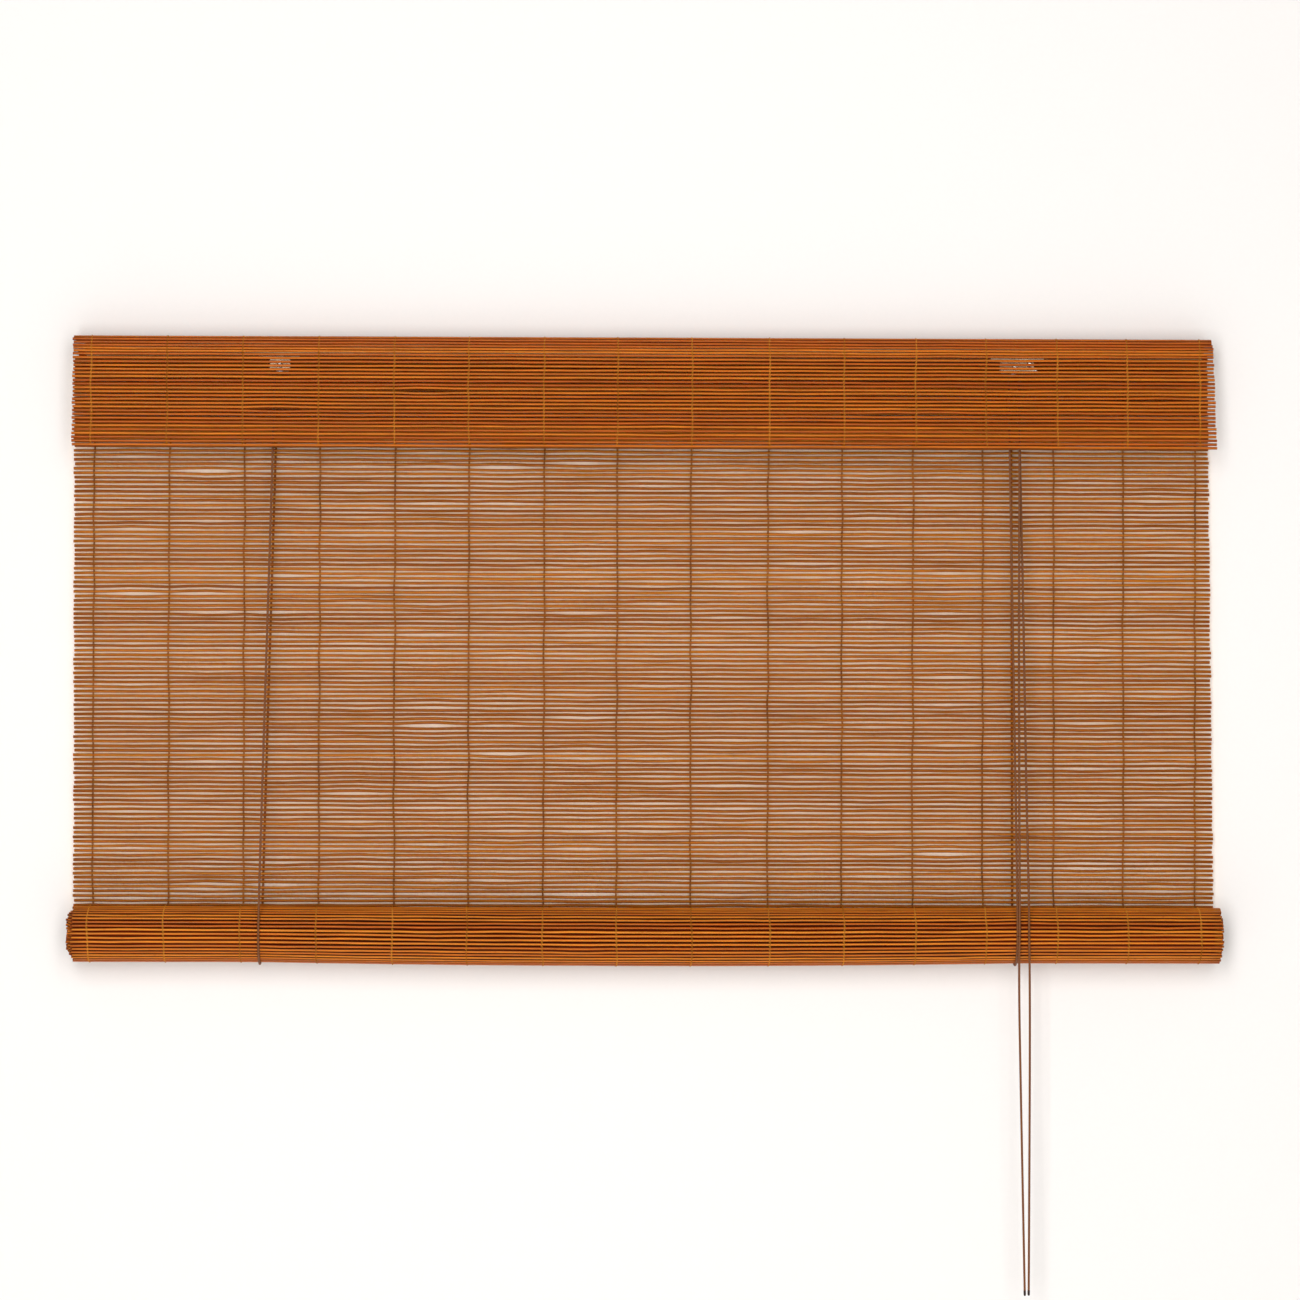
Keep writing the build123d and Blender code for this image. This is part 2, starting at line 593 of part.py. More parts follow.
def lift_rear(name, bight_x, fixed_x):
    """From its staple on the batten's back down behind the mat to the bight."""
    return tube(name, CORD_DIAMETER, [
        (fixed_x, BIGHT_REAR_Y, CORD_END_ABOVE),
        (fixed_x, BIGHT_REAR_Y, -HALF_BATTEN),
        (bight_x, BIGHT_REAR_Y, ROLL_Z + ROLL_RADIUS),
        (bight_x, BIGHT_REAR_Y, ROLL_Z + CORD_CLEARANCE),
    ])


def lift_front(name, bight_x, top_x, top_y):
    """From the bight up in front of the mat to the side of a wheel."""
    return tube(name, CORD_DIAMETER, [
        (bight_x, BIGHT_FRONT_Y, ROLL_Z + CORD_CLEARANCE),
        (bight_x, BIGHT_FRONT_Y, ROLL_Z + ROLL_RADIUS),
        (top_x, top_y, AXLE_Z - ROLL_RADIUS),
        (top_x, top_y, AXLE_Z),
    ])


save("left_lift_cord_rear", lift_rear("left rear", LEFT_BIGHT_X, left_fixed_x))
save("right_lift_cord_rear", lift_rear("right rear", RIGHT_BIGHT_X, right_fixed_x))
save("left_cord_bight", bight(LEFT_BIGHT_X))
save("right_cord_bight", bight(RIGHT_BIGHT_X))
save("left_lift_cord_front", lift_front("left front", LEFT_BIGHT_X, LEFT_CORD_X, PULLEY_Y))
save("right_lift_cord_front", lift_front("right front", RIGHT_BIGHT_X, RIGHT_CORD_X, FRONT_WHEEL_Y))

# The left cord turns over the pulley, runs along under the batten and turns over the lock.
cord_top = AXLE_Z + PITCH_RADIUS
cross_points = [
    (LEFT_CORD_X, PULLEY_Y, AXLE_Z),
    (LEFT_CORD_X, PULLEY_Y, cord_top),
    (PULL_X, REAR_WHEEL_Y, cord_top),
    (PULL_X, REAR_WHEEL_Y, AXLE_Z),
]
wheel_turn = PITCH_RADIUS * 0.999  # just under the run beside it, so that a run is left
save("cross_cord", tube("cross cord", CORD_DIAMETER, cross_points, [wheel_turn, wheel_turn]))
turn_path = CenterArc((0, 0), PITCH_RADIUS, 0, 180)
turn = sweep(Plane(origin=turn_path @ 0, z_dir=turn_path % 0) * Circle(CORD_RADIUS), path=turn_path)
save("lock_cord_turn", Pos(LOCK_X, FRONT_WHEEL_Y, AXLE_Z) * Rot(90, 0, 0) * turn)


# ---- Pull cords ----
def pull_upper(name, wheel_y, roll_y, sway):
    """From the lock, straight down at first, to the top of the roll and down its front."""
    start, foot = AXLE_Z - PULL_STRAIGHT, ROLL_Z + ROLL_RADIUS
    points = [(PULL_X, wheel_y, AXLE_Z)]
    for share, x in sway:
        points.append(
            (PULL_X + x, wheel_y + share * (roll_y - wheel_y), start + share * (foot - start))
        )
    points.append((PULL_X + sway[-1][1], roll_y, ROLL_Z + CORD_CLEARANCE))
    return tube(name, CORD_DIAMETER, points)


def pull_lower(name, roll_y, sway):
    """From the front of the roll down to the end that the hand takes."""
    end = AXLE_Z - PULL_LENGTH
    return tube(name, CORD_DIAMETER, [
        (PULL_X + x, roll_y, ROLL_Z + share * (end - ROLL_Z)) for share, x in sway
    ])


front_pull_y = BIGHT_FRONT_Y - CORD_STACK
save("front_pull_cord_upper", pull_upper("front upper", FRONT_WHEEL_Y, front_pull_y, FRONT_PULL_SWAY))
save("front_pull_cord_lower", pull_lower("front lower", front_pull_y, FRONT_PULL_TAIL))
save("rear_pull_cord_upper", pull_upper("rear upper", REAR_WHEEL_Y, BIGHT_FRONT_Y, REAR_PULL_SWAY))
save("rear_pull_cord_lower", pull_lower("rear lower", BIGHT_FRONT_Y, REAR_PULL_TAIL))
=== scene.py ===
"""Looks of a matchstick bamboo roll up blind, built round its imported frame.

The blind hangs on a wall and is let down part of the way.  X runs along it to the right, Y points
to the wall and Z points up.  Sizes are in metres, and MM turns millimetres into metres.
"""

import logging  # noqa: E402
import math  # noqa: E402
from dataclasses import dataclass, field  # noqa: E402
from enum import Enum  # noqa: E402
from functools import partial, reduce  # noqa: E402
from typing import Any, Iterable, Sequence  # noqa: E402

import bpy  # noqa: E402
from mathutils import Matrix, Vector  # noqa: E402
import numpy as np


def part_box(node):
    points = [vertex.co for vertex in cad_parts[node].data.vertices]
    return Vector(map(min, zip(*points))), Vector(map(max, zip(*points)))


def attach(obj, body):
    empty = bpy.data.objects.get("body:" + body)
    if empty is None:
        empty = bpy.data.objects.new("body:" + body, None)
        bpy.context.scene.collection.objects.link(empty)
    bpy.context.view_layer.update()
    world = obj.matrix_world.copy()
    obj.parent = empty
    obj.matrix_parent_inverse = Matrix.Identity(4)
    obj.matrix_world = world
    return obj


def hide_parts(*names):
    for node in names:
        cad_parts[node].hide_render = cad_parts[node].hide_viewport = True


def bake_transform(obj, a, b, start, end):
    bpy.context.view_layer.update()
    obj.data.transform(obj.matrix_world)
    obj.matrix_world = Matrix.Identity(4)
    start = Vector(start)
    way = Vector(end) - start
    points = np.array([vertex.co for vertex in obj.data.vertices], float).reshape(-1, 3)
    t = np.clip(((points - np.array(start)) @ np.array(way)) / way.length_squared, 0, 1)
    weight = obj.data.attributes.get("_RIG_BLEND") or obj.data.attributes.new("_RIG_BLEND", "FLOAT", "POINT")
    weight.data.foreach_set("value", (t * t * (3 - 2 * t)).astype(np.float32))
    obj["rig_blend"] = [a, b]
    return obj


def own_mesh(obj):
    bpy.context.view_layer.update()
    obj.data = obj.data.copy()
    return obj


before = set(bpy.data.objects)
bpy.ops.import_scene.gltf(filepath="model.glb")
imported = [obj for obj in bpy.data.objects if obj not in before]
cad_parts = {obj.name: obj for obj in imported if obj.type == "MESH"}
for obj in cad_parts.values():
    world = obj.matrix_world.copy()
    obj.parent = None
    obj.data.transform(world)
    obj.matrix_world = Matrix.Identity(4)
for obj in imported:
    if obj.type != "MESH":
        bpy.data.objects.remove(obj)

LOG = logging.getLogger("roll_up_blind")
MM = 0.001
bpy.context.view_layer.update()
DOWN = (0.0, 0.0, -1.0)
TO_ROOM = (0.0, -1.0, 0.0)
CREASE = math.radians(50)

Triple = tuple[float, float, float]
Colour = tuple[float, float, float]
Sway = tuple[tuple[float, float], ...]
Places = tuple[tuple[float, float, float, float], ...]


def paint(red: int, green: int, blue: int) -> Colour:
    """Gives the linear colour of a display colour with channels from 0 to 255."""
    channels = []
    for value in (red, green, blue):
        share = value / 255
        channels.append(share / 12.92 if share <= 0.04045 else ((share + 0.055) / 1.055) ** 2.4)
    return tuple(channels)


def put(name: str, data: Any) -> bpy.types.Object:
    """Adds an object to the scene.

    Args:
        name: The object's name.
        data: Its mesh, curve, camera or light.

    Returns:
        The object.
    """
    thing = bpy.data.objects.new(name, data)
    bpy.context.scene.collection.objects.link(thing)
    return thing


def store(mesh: bpy.types.Mesh, label: str, values: Sequence[float], of: str = "value") -> None:
    """Stores a number or a vector on each point of a mesh.

    Args:
        mesh: The mesh.
        label: The attribute's name.
        values: The numbers, with a vector's three in a row.
        of: What each point holds, "value" or "vector".
    """
    kind = "FLOAT" if of == "value" else "FLOAT_VECTOR"
    mesh.attributes.new(label, kind, "POINT").data.foreach_set(of, values)


# ---- Node trees ----
class Wiring:
    """Adds and joins the nodes of one tree."""

    def __init__(self, tree: bpy.types.NodeTree) -> None:
        """Starts on an empty tree.

        Args:
            tree: The node tree to fill.
        """
        self.tree = tree

    def add(self, kind: str, **settings: Any) -> bpy.types.Node:
        """Adds one node.

        Args:
            kind: The node's type name.
            **settings: Properties of the node to set.

        Returns:
            The new node.
        """
        node = self.tree.nodes.new(kind)
        for name, value in settings.items():
            setattr(node, name, value)
        return node

    def feed(self, socket: bpy.types.NodeSocket, value: Any) -> None:
        """Links a socket, or sets its value.

        Args:
            socket: The input to feed.
            value: An output socket, or a plain value.
        """
        if isinstance(value, bpy.types.NodeSocket):
            self.tree.links.new(value, socket)
        else:
            socket.default_value = value

    def use(self, kind: str, inputs: dict[Any, Any], **settings: Any) -> bpy.types.Node:
        """Adds one node and feeds its inputs.

        Args:
            kind: The node's type name.
            inputs: Values or sockets by the input's name or number.
            **settings: Properties of the node to set.

        Returns:
            The new node.
        """
        node = self.add(kind, **settings)
        for key, value in inputs.items():
            self.feed(node.inputs[key], value)
        return node

    def math(self, operation: str, *values: Any) -> bpy.types.NodeSocket:
        """Gives the result of a sum on numbers."""
        return self.use("ShaderNodeMath", dict(enumerate(values)), operation=operation).outputs[0]

    def total(self, *values: Any) -> bpy.types.NodeSocket:
        """Gives the sum of two or more numbers."""
        return reduce(partial(self.math, "ADD"), values)

    def product(self, *values: Any) -> bpy.types.NodeSocket:
        """Gives the product of two or more numbers."""
        return reduce(partial(self.math, "MULTIPLY"), values)

    def xyz(self, x: Any, y: Any, z: Any) -> bpy.types.NodeSocket:
        """Gives the vector of three numbers."""
        return self.use("ShaderNodeCombineXYZ", {0: x, 1: y, 2: z}).outputs[0]

    def split(self, vector: bpy.types.NodeSocket) -> Sequence[bpy.types.NodeSocket]:
        """Gives the three numbers of a vector."""
        return self.use("ShaderNodeSeparateXYZ", {0: vector}).outputs

    def stretch(self, parts: Sequence[Any], factors: Triple) -> bpy.types.NodeSocket:
        """Gives the vector of three numbers, each times its own factor."""
        return self.xyz(*(self.product(part, factor) for part, factor in zip(parts, factors)))

    def vector(self, operation: str, *values: Any) -> bpy.types.NodeSocket:
        """Gives the vector that a sum on vectors makes."""
        inputs = dict(enumerate(values))
        return self.use("ShaderNodeVectorMath", inputs, operation=operation).outputs[0]

    def scaled(self, vector: Any, factor: Any) -> bpy.types.NodeSocket:
        """Gives a vector times a number."""
        inputs = {"Vector": vector, "Scale": factor}
        return self.use("ShaderNodeVectorMath", inputs, operation="SCALE").outputs[0]

    def moved(self, *vectors: Any) -> bpy.types.NodeSocket:
        """Gives the sum of two or more vectors."""
        return reduce(partial(self.vector, "ADD"), vectors)

    def noise(self, vector: Any, detail: float = 0.0) -> bpy.types.NodeSocket:
        """Gives smooth noise from 0 to 1 at a place, with some finer layers."""
        inputs = {"Vector": vector, "Detail": detail, "Scale": 1.0}
        return self.use("ShaderNodeTexNoise", inputs).outputs[0]

    def swing(self, vector: Any) -> bpy.types.NodeSocket:
        """Gives smooth noise from about -1 to 1 at a place."""
        return self.math("MULTIPLY_ADD", self.noise(vector), 2.6, -1.3)

    def ripple(self, x: Any, along: float, row: Any, down: float, seed: Any) -> Any:
        """Gives smooth noise from about -1 to 1 over a mat.

        Args:
            x: The place along the stick.
            along: How fast the noise changes along a stick.
            row: The stick's number.
            down: How fast it changes from stick to stick.
            seed: A number for this noise.

        Returns:
            The noise.
        """
        return self.swing(self.xyz(self.product(x, along), self.product(row, down), seed))


class GeometryTree(Wiring):
    """A Geometry Nodes tree with named inputs, and the modifier that runs it."""

    kinds = {
        float: "Float", int: "Int", bpy.types.Material: "Material", bpy.types.Object: "Object",
    }

    def __init__(self, name: str, inputs: dict[str, Any]) -> None:
        """Makes the tree and its sockets.

        Args:
            name: The tree's name.
            inputs: The value of each named input, whose type gives the socket's.
        """
        tree = bpy.data.node_groups.new(name, "GeometryNodeTree")
        tree.is_modifier = True
        super().__init__(tree)
        ask = tree.interface.new_socket
        ask(name="Geometry", in_out="INPUT", socket_type="NodeSocketGeometry")
        self.identifiers = {}
        self.values = {}
        for label, value in inputs.items():
            kind = self.kinds[type(value)]
            socket = ask(name=label, in_out="INPUT", socket_type=f"NodeSocket{kind}")
            self.identifiers[label] = socket.identifier
            self.values[label] = value
        ask(name="Geometry", in_out="OUTPUT", socket_type="NodeSocketGeometry")
        self.start = self.add("NodeGroupInput")
        self.end = self.add("NodeGroupOutput")

    def input(self, label: str) -> bpy.types.NodeSocket:
        """Gives the socket of one named input."""
        return self.start.outputs[label]

    def named(self, label: str, kind: str = "FLOAT") -> bpy.types.NodeSocket:
        """Reads a named attribute of the geometry."""
        node = self.use("GeometryNodeInputNamedAttribute", {"Name": label}, data_type=kind)
        return node.outputs[0]

    def keep(self, geometry: Any, label: str, value: Any, kind: str = "FLOAT") -> Any:
        """Stores a named attribute on the points.

        Args:
            geometry: The geometry's socket.
            label: The attribute's name.
            value: What to store.
            kind: The attribute's data type.

        Returns:
            The geometry that holds it.
        """
        inputs = {"Geometry": geometry, "Name": label, "Value": value}
        return self.use(
            "GeometryNodeStoreNamedAttribute", inputs, data_type=kind, domain="POINT"
        ).outputs[0]

    def chance(self, low: float, high: float, number: Any, seed: Any) -> bpy.types.NodeSocket:
        """Gives a fixed random number for each numbered thing."""
        node = self.add("FunctionNodeRandomValue", data_type="FLOAT")
        sockets = {socket.identifier: socket for socket in node.inputs}
        self.feed(sockets["Min_001"], low)
        self.feed(sockets["Max_001"], high)
        self.feed(sockets["ID"], number)
        self.feed(sockets["Seed"], seed if isinstance(seed, bpy.types.NodeSocket) else int(seed))
        return next(socket for socket in node.outputs if socket.enabled)

    def spread(self, shape: Any, points: Any) -> bpy.types.NodeSocket:
        """Puts a shape at every point and makes the copies real."""
        inputs = {"Points": points, "Instance": shape}
        copies = self.use("GeometryNodeInstanceOnPoints", inputs).outputs[0]
        return self.use("GeometryNodeRealizeInstances", {0: copies}).outputs[0]

    def placed(self, geometry: Any, position: Any) -> bpy.types.NodeSocket:
        """Puts the points of a geometry at new places."""
        inputs = {"Geometry": geometry, "Position": position}
        return self.use("GeometryNodeSetPosition", inputs).outputs[0]

    def girthed(self, curve: Any, girth: Any) -> bpy.types.NodeSocket:
        """Sets how thick a curve is, as a share of its section."""
        inputs = {"Curve": curve, "Radius": girth}
        return self.use("GeometryNodeSetCurveRadius", inputs).outputs[0]

    def tube(self, curve: Any, radius: Any, sides: Any) -> bpy.types.NodeSocket:
        """Gives a curve a round section with closed ends, and keeps the way round as "round"."""
        ring = self.use("GeometryNodeCurvePrimitiveCircle", {"Resolution": sides, "Radius": radius})
        place = self.add("GeometryNodeInputPosition").outputs[0]
        way = self.vector("NORMALIZE", place)
        profile = self.keep(ring.outputs[0], "round", way, "FLOAT_VECTOR")
        girth = self.add("GeometryNodeInputRadius").outputs[0]
        inputs = {"Curve": curve, "Profile Curve": profile, "Scale": girth, "Fill Caps": True}
        return self.use("GeometryNodeCurveToMesh", inputs).outputs[0]

    def close(self, mesh: Any) -> None:
        """Ends the tree with real copies and the piece's own finish."""
        real = self.use("GeometryNodeRealizeInstances", {0: mesh}).outputs[0]
        inputs = {"Geometry": real, "Material": self.input("Finish")}
        dressed = self.use("GeometryNodeSetMaterial", inputs).outputs[0]
        self.feed(self.end.inputs[0], dressed)

    def run(self, name: str, source: bpy.types.Mesh, keep: Iterable[str] = ()) -> bpy.types.Object:
        """Runs the tree on a mesh and gives the result as a plain mesh object.

        Args:
            name: The new piece's name.
            source: The mesh that the tree starts from.
            keep: The attributes that the piece's finish reads.

        Returns:
            An object at the origin, with no modifier.
        """
        piece = put(name, source)
        modifier = piece.modifiers.new(self.tree.name, "NODES")
        modifier.node_group = self.tree
        for label, value in self.values.items():
            modifier[self.identifiers[label]] = value
        graph = bpy.context.evaluated_depsgraph_get()
        made = bpy.data.meshes.new_from_object(
            piece.evaluated_get(graph), preserve_all_data_layers=True, depsgraph=graph
        )
        piece.modifiers.remove(modifier)
        piece.data = made
        made.name = name
        wanted = {"position", "material_index", "sharp_face", "sharp_edge", *keep}
        for label in [a.name for a in made.attributes if not a.name.startswith(".")]:
            if label not in wanted:
                made.attributes.remove(made.attributes[label])
        made.shade_smooth()
        made.set_sharp_from_angle(angle=CREASE)
        return piece


# ---- Finishes ----
class Surface(Wiring):
    """The shader tree of one finish."""

    def __init__(self, name: str) -> None:
        """Makes a material with one Principled shader.

        Args:
            name: The material's name.
        """
        self.material = bpy.data.materials.new(name)
        self.material.use_nodes = True
        super().__init__(self.material.node_tree)
        self.tree.nodes.clear()
        self.shader = self.add("ShaderNodeBsdfPrincipled")
        output = self.add("ShaderNodeOutputMaterial")
        self.feed(output.inputs["Surface"], self.shader.outputs[0])

    def place(self) -> bpy.types.NodeSocket:
        """Gives the place on the piece."""
        return self.add("ShaderNodeTexCoord").outputs["Object"]

    def stretched(self, scale: Triple) -> bpy.types.NodeSocket:
        """Gives the place on the piece, stretched for a pattern."""
        inputs = {"Vector": self.place(), "Scale": scale}
        return self.use("ShaderNodeMapping", inputs).outputs[0]

    def attribute(self, label: str) -> bpy.types.Node:
        """Reads an attribute of the piece."""
        return self.add("ShaderNodeAttribute", attribute_name=label)

    def ramp(self, value: Any, stops: Sequence[tuple[float, Colour]]) -> bpy.types.NodeSocket:
        """Turns a number into a colour.

        Args:
            value: The number, from 0 to 1.
            stops: Places and colours in order.

        Returns:
            The colour.
        """
        node = self.use("ShaderNodeValToRGB", {0: value})
        elements = node.color_ramp.elements
        while len(elements) < len(stops):
            elements.new(0.5)
        for element, (position, colour) in zip(elements, stops):
            element.position = position
            element.color = (*colour, 1.0)
        return node.outputs[0]

    def mixed(self, first: Any, second: Any, share: Any, way: str = "MIX") -> Any:
        """Mixes two colours.

        Args:
            first: The colour at share 0.
            second: The colour that is mixed in.
            share: How much of it.
            way: The blend's name.

        Returns:
            The mixed colour.
        """
        node = self.add("ShaderNodeMix", data_type="RGBA", blend_type=way)
        self.feed(node.inputs["Factor"], share)
        for socket, value in ((node.inputs[6], first), (node.inputs[7], second)):
            self.feed(socket, value if isinstance(value, bpy.types.NodeSocket) else (*value, 1.0))
        return node.outputs[2]

    def ranged(self, value: Any, low: float, high: float, to: tuple[float, float]) -> Any:
        """Maps a number from one range to another, held at its ends."""
        inputs = {0: value, 1: low, 2: high, 3: to[0], 4: to[1]}
        return self.use("ShaderNodeMapRange", inputs).outputs[0]

    def relief(self, height: Any, depth: float) -> None:
        """Gives the surface a relief of a height from 0 to 1, with its depth in metres."""
        inputs = {"Height": height, "Distance": depth, "Strength": 1.0}
        bump = self.use("ShaderNodeBump", inputs)
        self.feed(self.shader.inputs["Normal"], bump.outputs[0])

    def set(self, **values: Any) -> None:
        """Sets or links inputs of the shader, with _ for each space in a name."""
        for name, value in values.items():
            self.feed(self.shader.inputs[name.replace("_", " ")], value)


@dataclass(frozen=True)
class StainedBamboo:
    """Split bamboo sticks, stained and lacquered to a satin gloss."""

    name: str
    dark: Colour
    middle: Colour
    light: Colour
    # Painted light and shade on the backs of the sticks.
    back: Colour
    # Painted shade on the sides of the sticks, where their neighbours shade them.
    painted_side_shade: Colour
    glow: float
    gloss: float = 0.32
    # Painted shade for the inner turns, laid on the sticks away from their ends.
    shade: Colour = (0.0, 0.0, 0.0)
    shaded_half: float = 0.0
    shade_edge: float = 1.5 * MM

    def make(self) -> bpy.types.Material:
        """Makes the finish: a tone for each stick, grain along it, stains and joints, with painted shade on
        the sides of the sticks and on the inner turns, and painted light and shade on the backs.
        """
        s = Surface(self.name)
        tone = s.attribute("tone").outputs["Fac"]
        x, y, z = s.split(s.place())
        own = s.product(tone, 37.0)
        stops = [(0.0, self.dark), (0.45, self.middle), (1.0, self.light)]
        base = s.ramp(tone, stops)
        along = s.xyz(s.total(s.product(x, 30.0), own), s.product(y, 900.0), s.product(z, 900.0))
        grain = s.noise(along, detail=3.0)
        streak = s.ranged(grain, 0.3, 0.7, (0.74, 1.2))
        base = s.mixed(base, s.xyz(streak, streak, streak), 1.0, "MULTIPLY")
        broad = s.total(s.product(x, 11.0), s.product(own, 3.0))
        patch = s.noise(s.xyz(broad, own, 0.0), detail=2.0)
        stain = s.ranged(patch, 0.56, 0.72, (0.0, 0.65))
        base = s.mixed(base, self.dark, stain)
        reach = s.math("FRACT", s.total(s.product(x, 3.7), s.product(own, 1.7)))
        joint = s.ranged(s.math("ABSOLUTE", s.math("SUBTRACT", reach, 0.5)), 0.0, 0.006, (0.5, 0.0))
        base = s.mixed(base, self.dark, joint)
        facing = s.attribute("facing").outputs["Fac"]
        # Painted shade: inside its ends, each stick of the inner turns is mixed towards a dark colour, as
        # the outer turn shades it.
        if self.shaded_half:
            tip = self.shaded_half + self.shade_edge
            within = s.ranged(s.math("ABSOLUTE", x), tip - 2 * self.shade_edge, tip, (1.0, 0.0))
            base = s.mixed(base, self.shade, within)
        # Painted shade: the sides of each stick, which face its neighbours, are mixed towards a dark colour
        # and made rougher.
        aside = s.ranged(facing, 0.15, 0.85, (1.0, 0.0))
        base = s.mixed(base, self.painted_side_shade, aside)
        # Painted light and shade on the back of each stick: dark on the valance and roll, bright orange on
        # the drop, whose bounce lights the wall behind it.
        base = s.mixed(base, self.back, s.ranged(facing, -0.15, 0.12, (1.0, 0.0)))
        rough = s.total(s.ranged(grain, 0.3, 0.7, (0.28, 0.42)), s.product(aside, 0.5))
        s.set(Base_Color=base, Roughness=rough)
        s.set(Specular_IOR_Level=self.gloss, Specular_Tint=(1.0, 0.76, 0.5, 1.0))
        s.set(Subsurface_Weight=self.glow, Subsurface_Scale=2.0 * MM)
        s.set(Subsurface_Radius=(1.0, 0.3, 0.06))
        fine = s.stretch((x, y, z), (90.0, 2600.0, 2600.0))
        s.relief(s.noise(fine, detail=2.0), 0.06 * MM)
        return s.material


@dataclass(frozen=True)
class WarpThread:
    """Twisted cotton thread."""

    name: str
    dark: Colour
    light: Colour

    def make(self) -> bpy.types.Material:
        """Makes the finish: fibres that lie slanted, with a dull sheen."""
        s = Surface(self.name)
        fibres = s.noise(s.stretched((2600.0, 900.0, 1300.0)), detail=2.0)
        patch = s.noise(s.stretched((40.0, 40.0, 25.0)), detail=1.0)
        blend = s.ranged(s.total(fibres, patch), 0.75, 1.25, (0.0, 1.0))
        s.set(Base_Color=s.mixed(self.dark, self.light, blend), Roughness=0.8)
        s.set(Specular_IOR_Level=0.12, Specular_Tint=(1.0, 0.75, 0.45, 1.0))
        s.relief(fibres, 0.08 * MM)
        return s.material


@dataclass(frozen=True)
class BraidedCord:
    """Fine braided cord with dark heat sealed ends."""

    name: str
    dark: Colour
    light: Colour
    sealed: Colour
    strands: int = 4
    lay: float = 4.2 * MM

    def make(self) -> bpy.types.Material:
        """Makes the finish: strands that cross over and under in both directions."""
        s = Surface(self.name)
        across, up, _ = s.split(s.attribute("round").outputs["Vector"])
        turn = s.product(s.math("ARCTAN2", up, across), float(self.strands))
        reach = s.product(s.attribute("reach").outputs["Fac"], 2 * math.pi / self.lay * 2)
        one = s.math("ABSOLUTE", s.math("COSINE", s.total(turn, reach)))
        other = s.math("ABSOLUTE", s.math("COSINE", s.math("SUBTRACT", turn, reach)))
        plait = s.math("MAXIMUM", one, other)
        fuzz = s.noise(s.stretched((1800.0, 1800.0, 700.0)), detail=2.0)
        share = s.ranged(s.total(plait, s.product(fuzz, 0.6)), 0.75, 1.35, (0.0, 1.0))
        base = s.mixed(self.dark, self.light, share)
        base = s.mixed(base, self.sealed, s.attribute("sealed").outputs["Fac"])
        s.set(Base_Color=base, Roughness=0.62, Specular_IOR_Level=0.25)
        s.relief(s.total(plait, s.product(fuzz, 0.5)), 0.12 * MM)
        return s.material


@dataclass(frozen=True)
class PlatedSteel:
    """Pressed, drawn or turned steel with a thin bright plating."""

    name: str
    colour: Colour
    roughness: float
    brush: Triple

    def make(self) -> bpy.types.Material:
        """Makes the finish: fine tool marks, a mottled plating and a duller bloom."""
        s = Surface(self.name)
        marks = s.noise(s.stretched(self.brush), detail=3.0)
        bloom = s.noise(s.stretched((180.0, 180.0, 180.0)), detail=3.0)
        shade = s.ranged(bloom, 0.35, 0.7, (1.0, 0.72))
        base = s.mixed(self.colour, s.xyz(shade, shade, shade), 1.0, "MULTIPLY")
        scored = s.ranged(marks, 0.3, 0.7, (-0.06, 0.08))
        rough = s.total(scored, s.ranged(bloom, 0.4, 0.7, (0.0, 0.12)))
        s.set(Base_Color=base, Metallic=1.0, Roughness=s.total(rough, self.roughness))
        s.relief(marks, 0.01 * MM)
        return s.material


@dataclass(frozen=True)
class PlanedPine:
    """Bare planed pine."""

    name: str
    early: Colour
    late: Colour

    def make(self) -> bpy.types.Material:
        """Makes the finish: growth rings drawn out along the wood, with fine pores."""
        s = Surface(self.name)
        x, y, z = s.split(s.place())
        sway = s.noise(s.stretch((x, y, z), (5.0, 20.0, 20.0)), detail=1.0)
        depth = s.total(s.product(y, 900.0), s.product(z, 1500.0), s.product(sway, 22.0))
        rings = s.math("SINE", depth)
        pores = s.noise(s.stretch((x, y, z), (60.0, 2500.0, 2500.0)), detail=2.0)
        late = s.ranged(rings, -0.2, 1.0, (0.0, 0.8))
        share = s.total(late, s.ranged(pores, 0.5, 0.75, (0.0, 0.35)))
        s.set(Base_Color=s.mixed(self.early, self.late, share))
        s.set(Roughness=0.62, Specular_IOR_Level=0.3)
        s.relief(pores, 0.05 * MM)
        return s.material


@dataclass(frozen=True)
class PaintedWall:
    """Smooth matt paint on the wall and the floor, which is clear when seen from behind."""

    name: str
    colour: Colour

    def make(self) -> bpy.types.Material:
        """Makes the finish: a faint roller texture on the side that faces the room."""
        s = Surface(self.name)
        texture = s.noise(s.stretched((300.0, 300.0, 300.0)), detail=2.0)
        shade = s.ranged(texture, 0.3, 0.7, (0.992, 1.0))
        s.set(Base_Color=s.mixed(self.colour, s.xyz(shade, shade, shade), 1.0, "MULTIPLY"))
        s.set(Roughness=0.9, Specular_IOR_Level=0.1)
        clear = s.add("ShaderNodeBsdfTransparent").outputs[0]
        behind = s.add("ShaderNodeNewGeometry").outputs["Backfacing"]
        either = s.use("ShaderNodeMixShader", {0: behind, 1: s.shader.outputs[0], 2: clear})
        output = next(n for n in s.tree.nodes if n.type == "OUTPUT_MATERIAL")
        s.feed(output.inputs["Surface"], either.outputs[0])
        return s.material


# ---- The weave ----
class Strand(Enum):
    """The two strands of a warp, which twist round each other between the sticks."""

    LEADING = 1.0
    FOLLOWING = -1.0


@dataclass(frozen=True)
class Row:
    """One stick's place: its middle, the way down the mat, the way out of its face, its ends.

    How loosely it lies is a share of the mat part's own looseness.
    """

    y: float
    z: float
    run: Vector
    face: Vector
    left: float
    right: float
    loose: float = 1.0


@dataclass(frozen=True)
class Parting:
    """A place where neighbouring sticks bow apart between two warps."""

    x: float
    row: float
    half_width: float
    opening: float
    fade: float = 0.55
    flatness: float = 0.4
    spread: float = 0.6


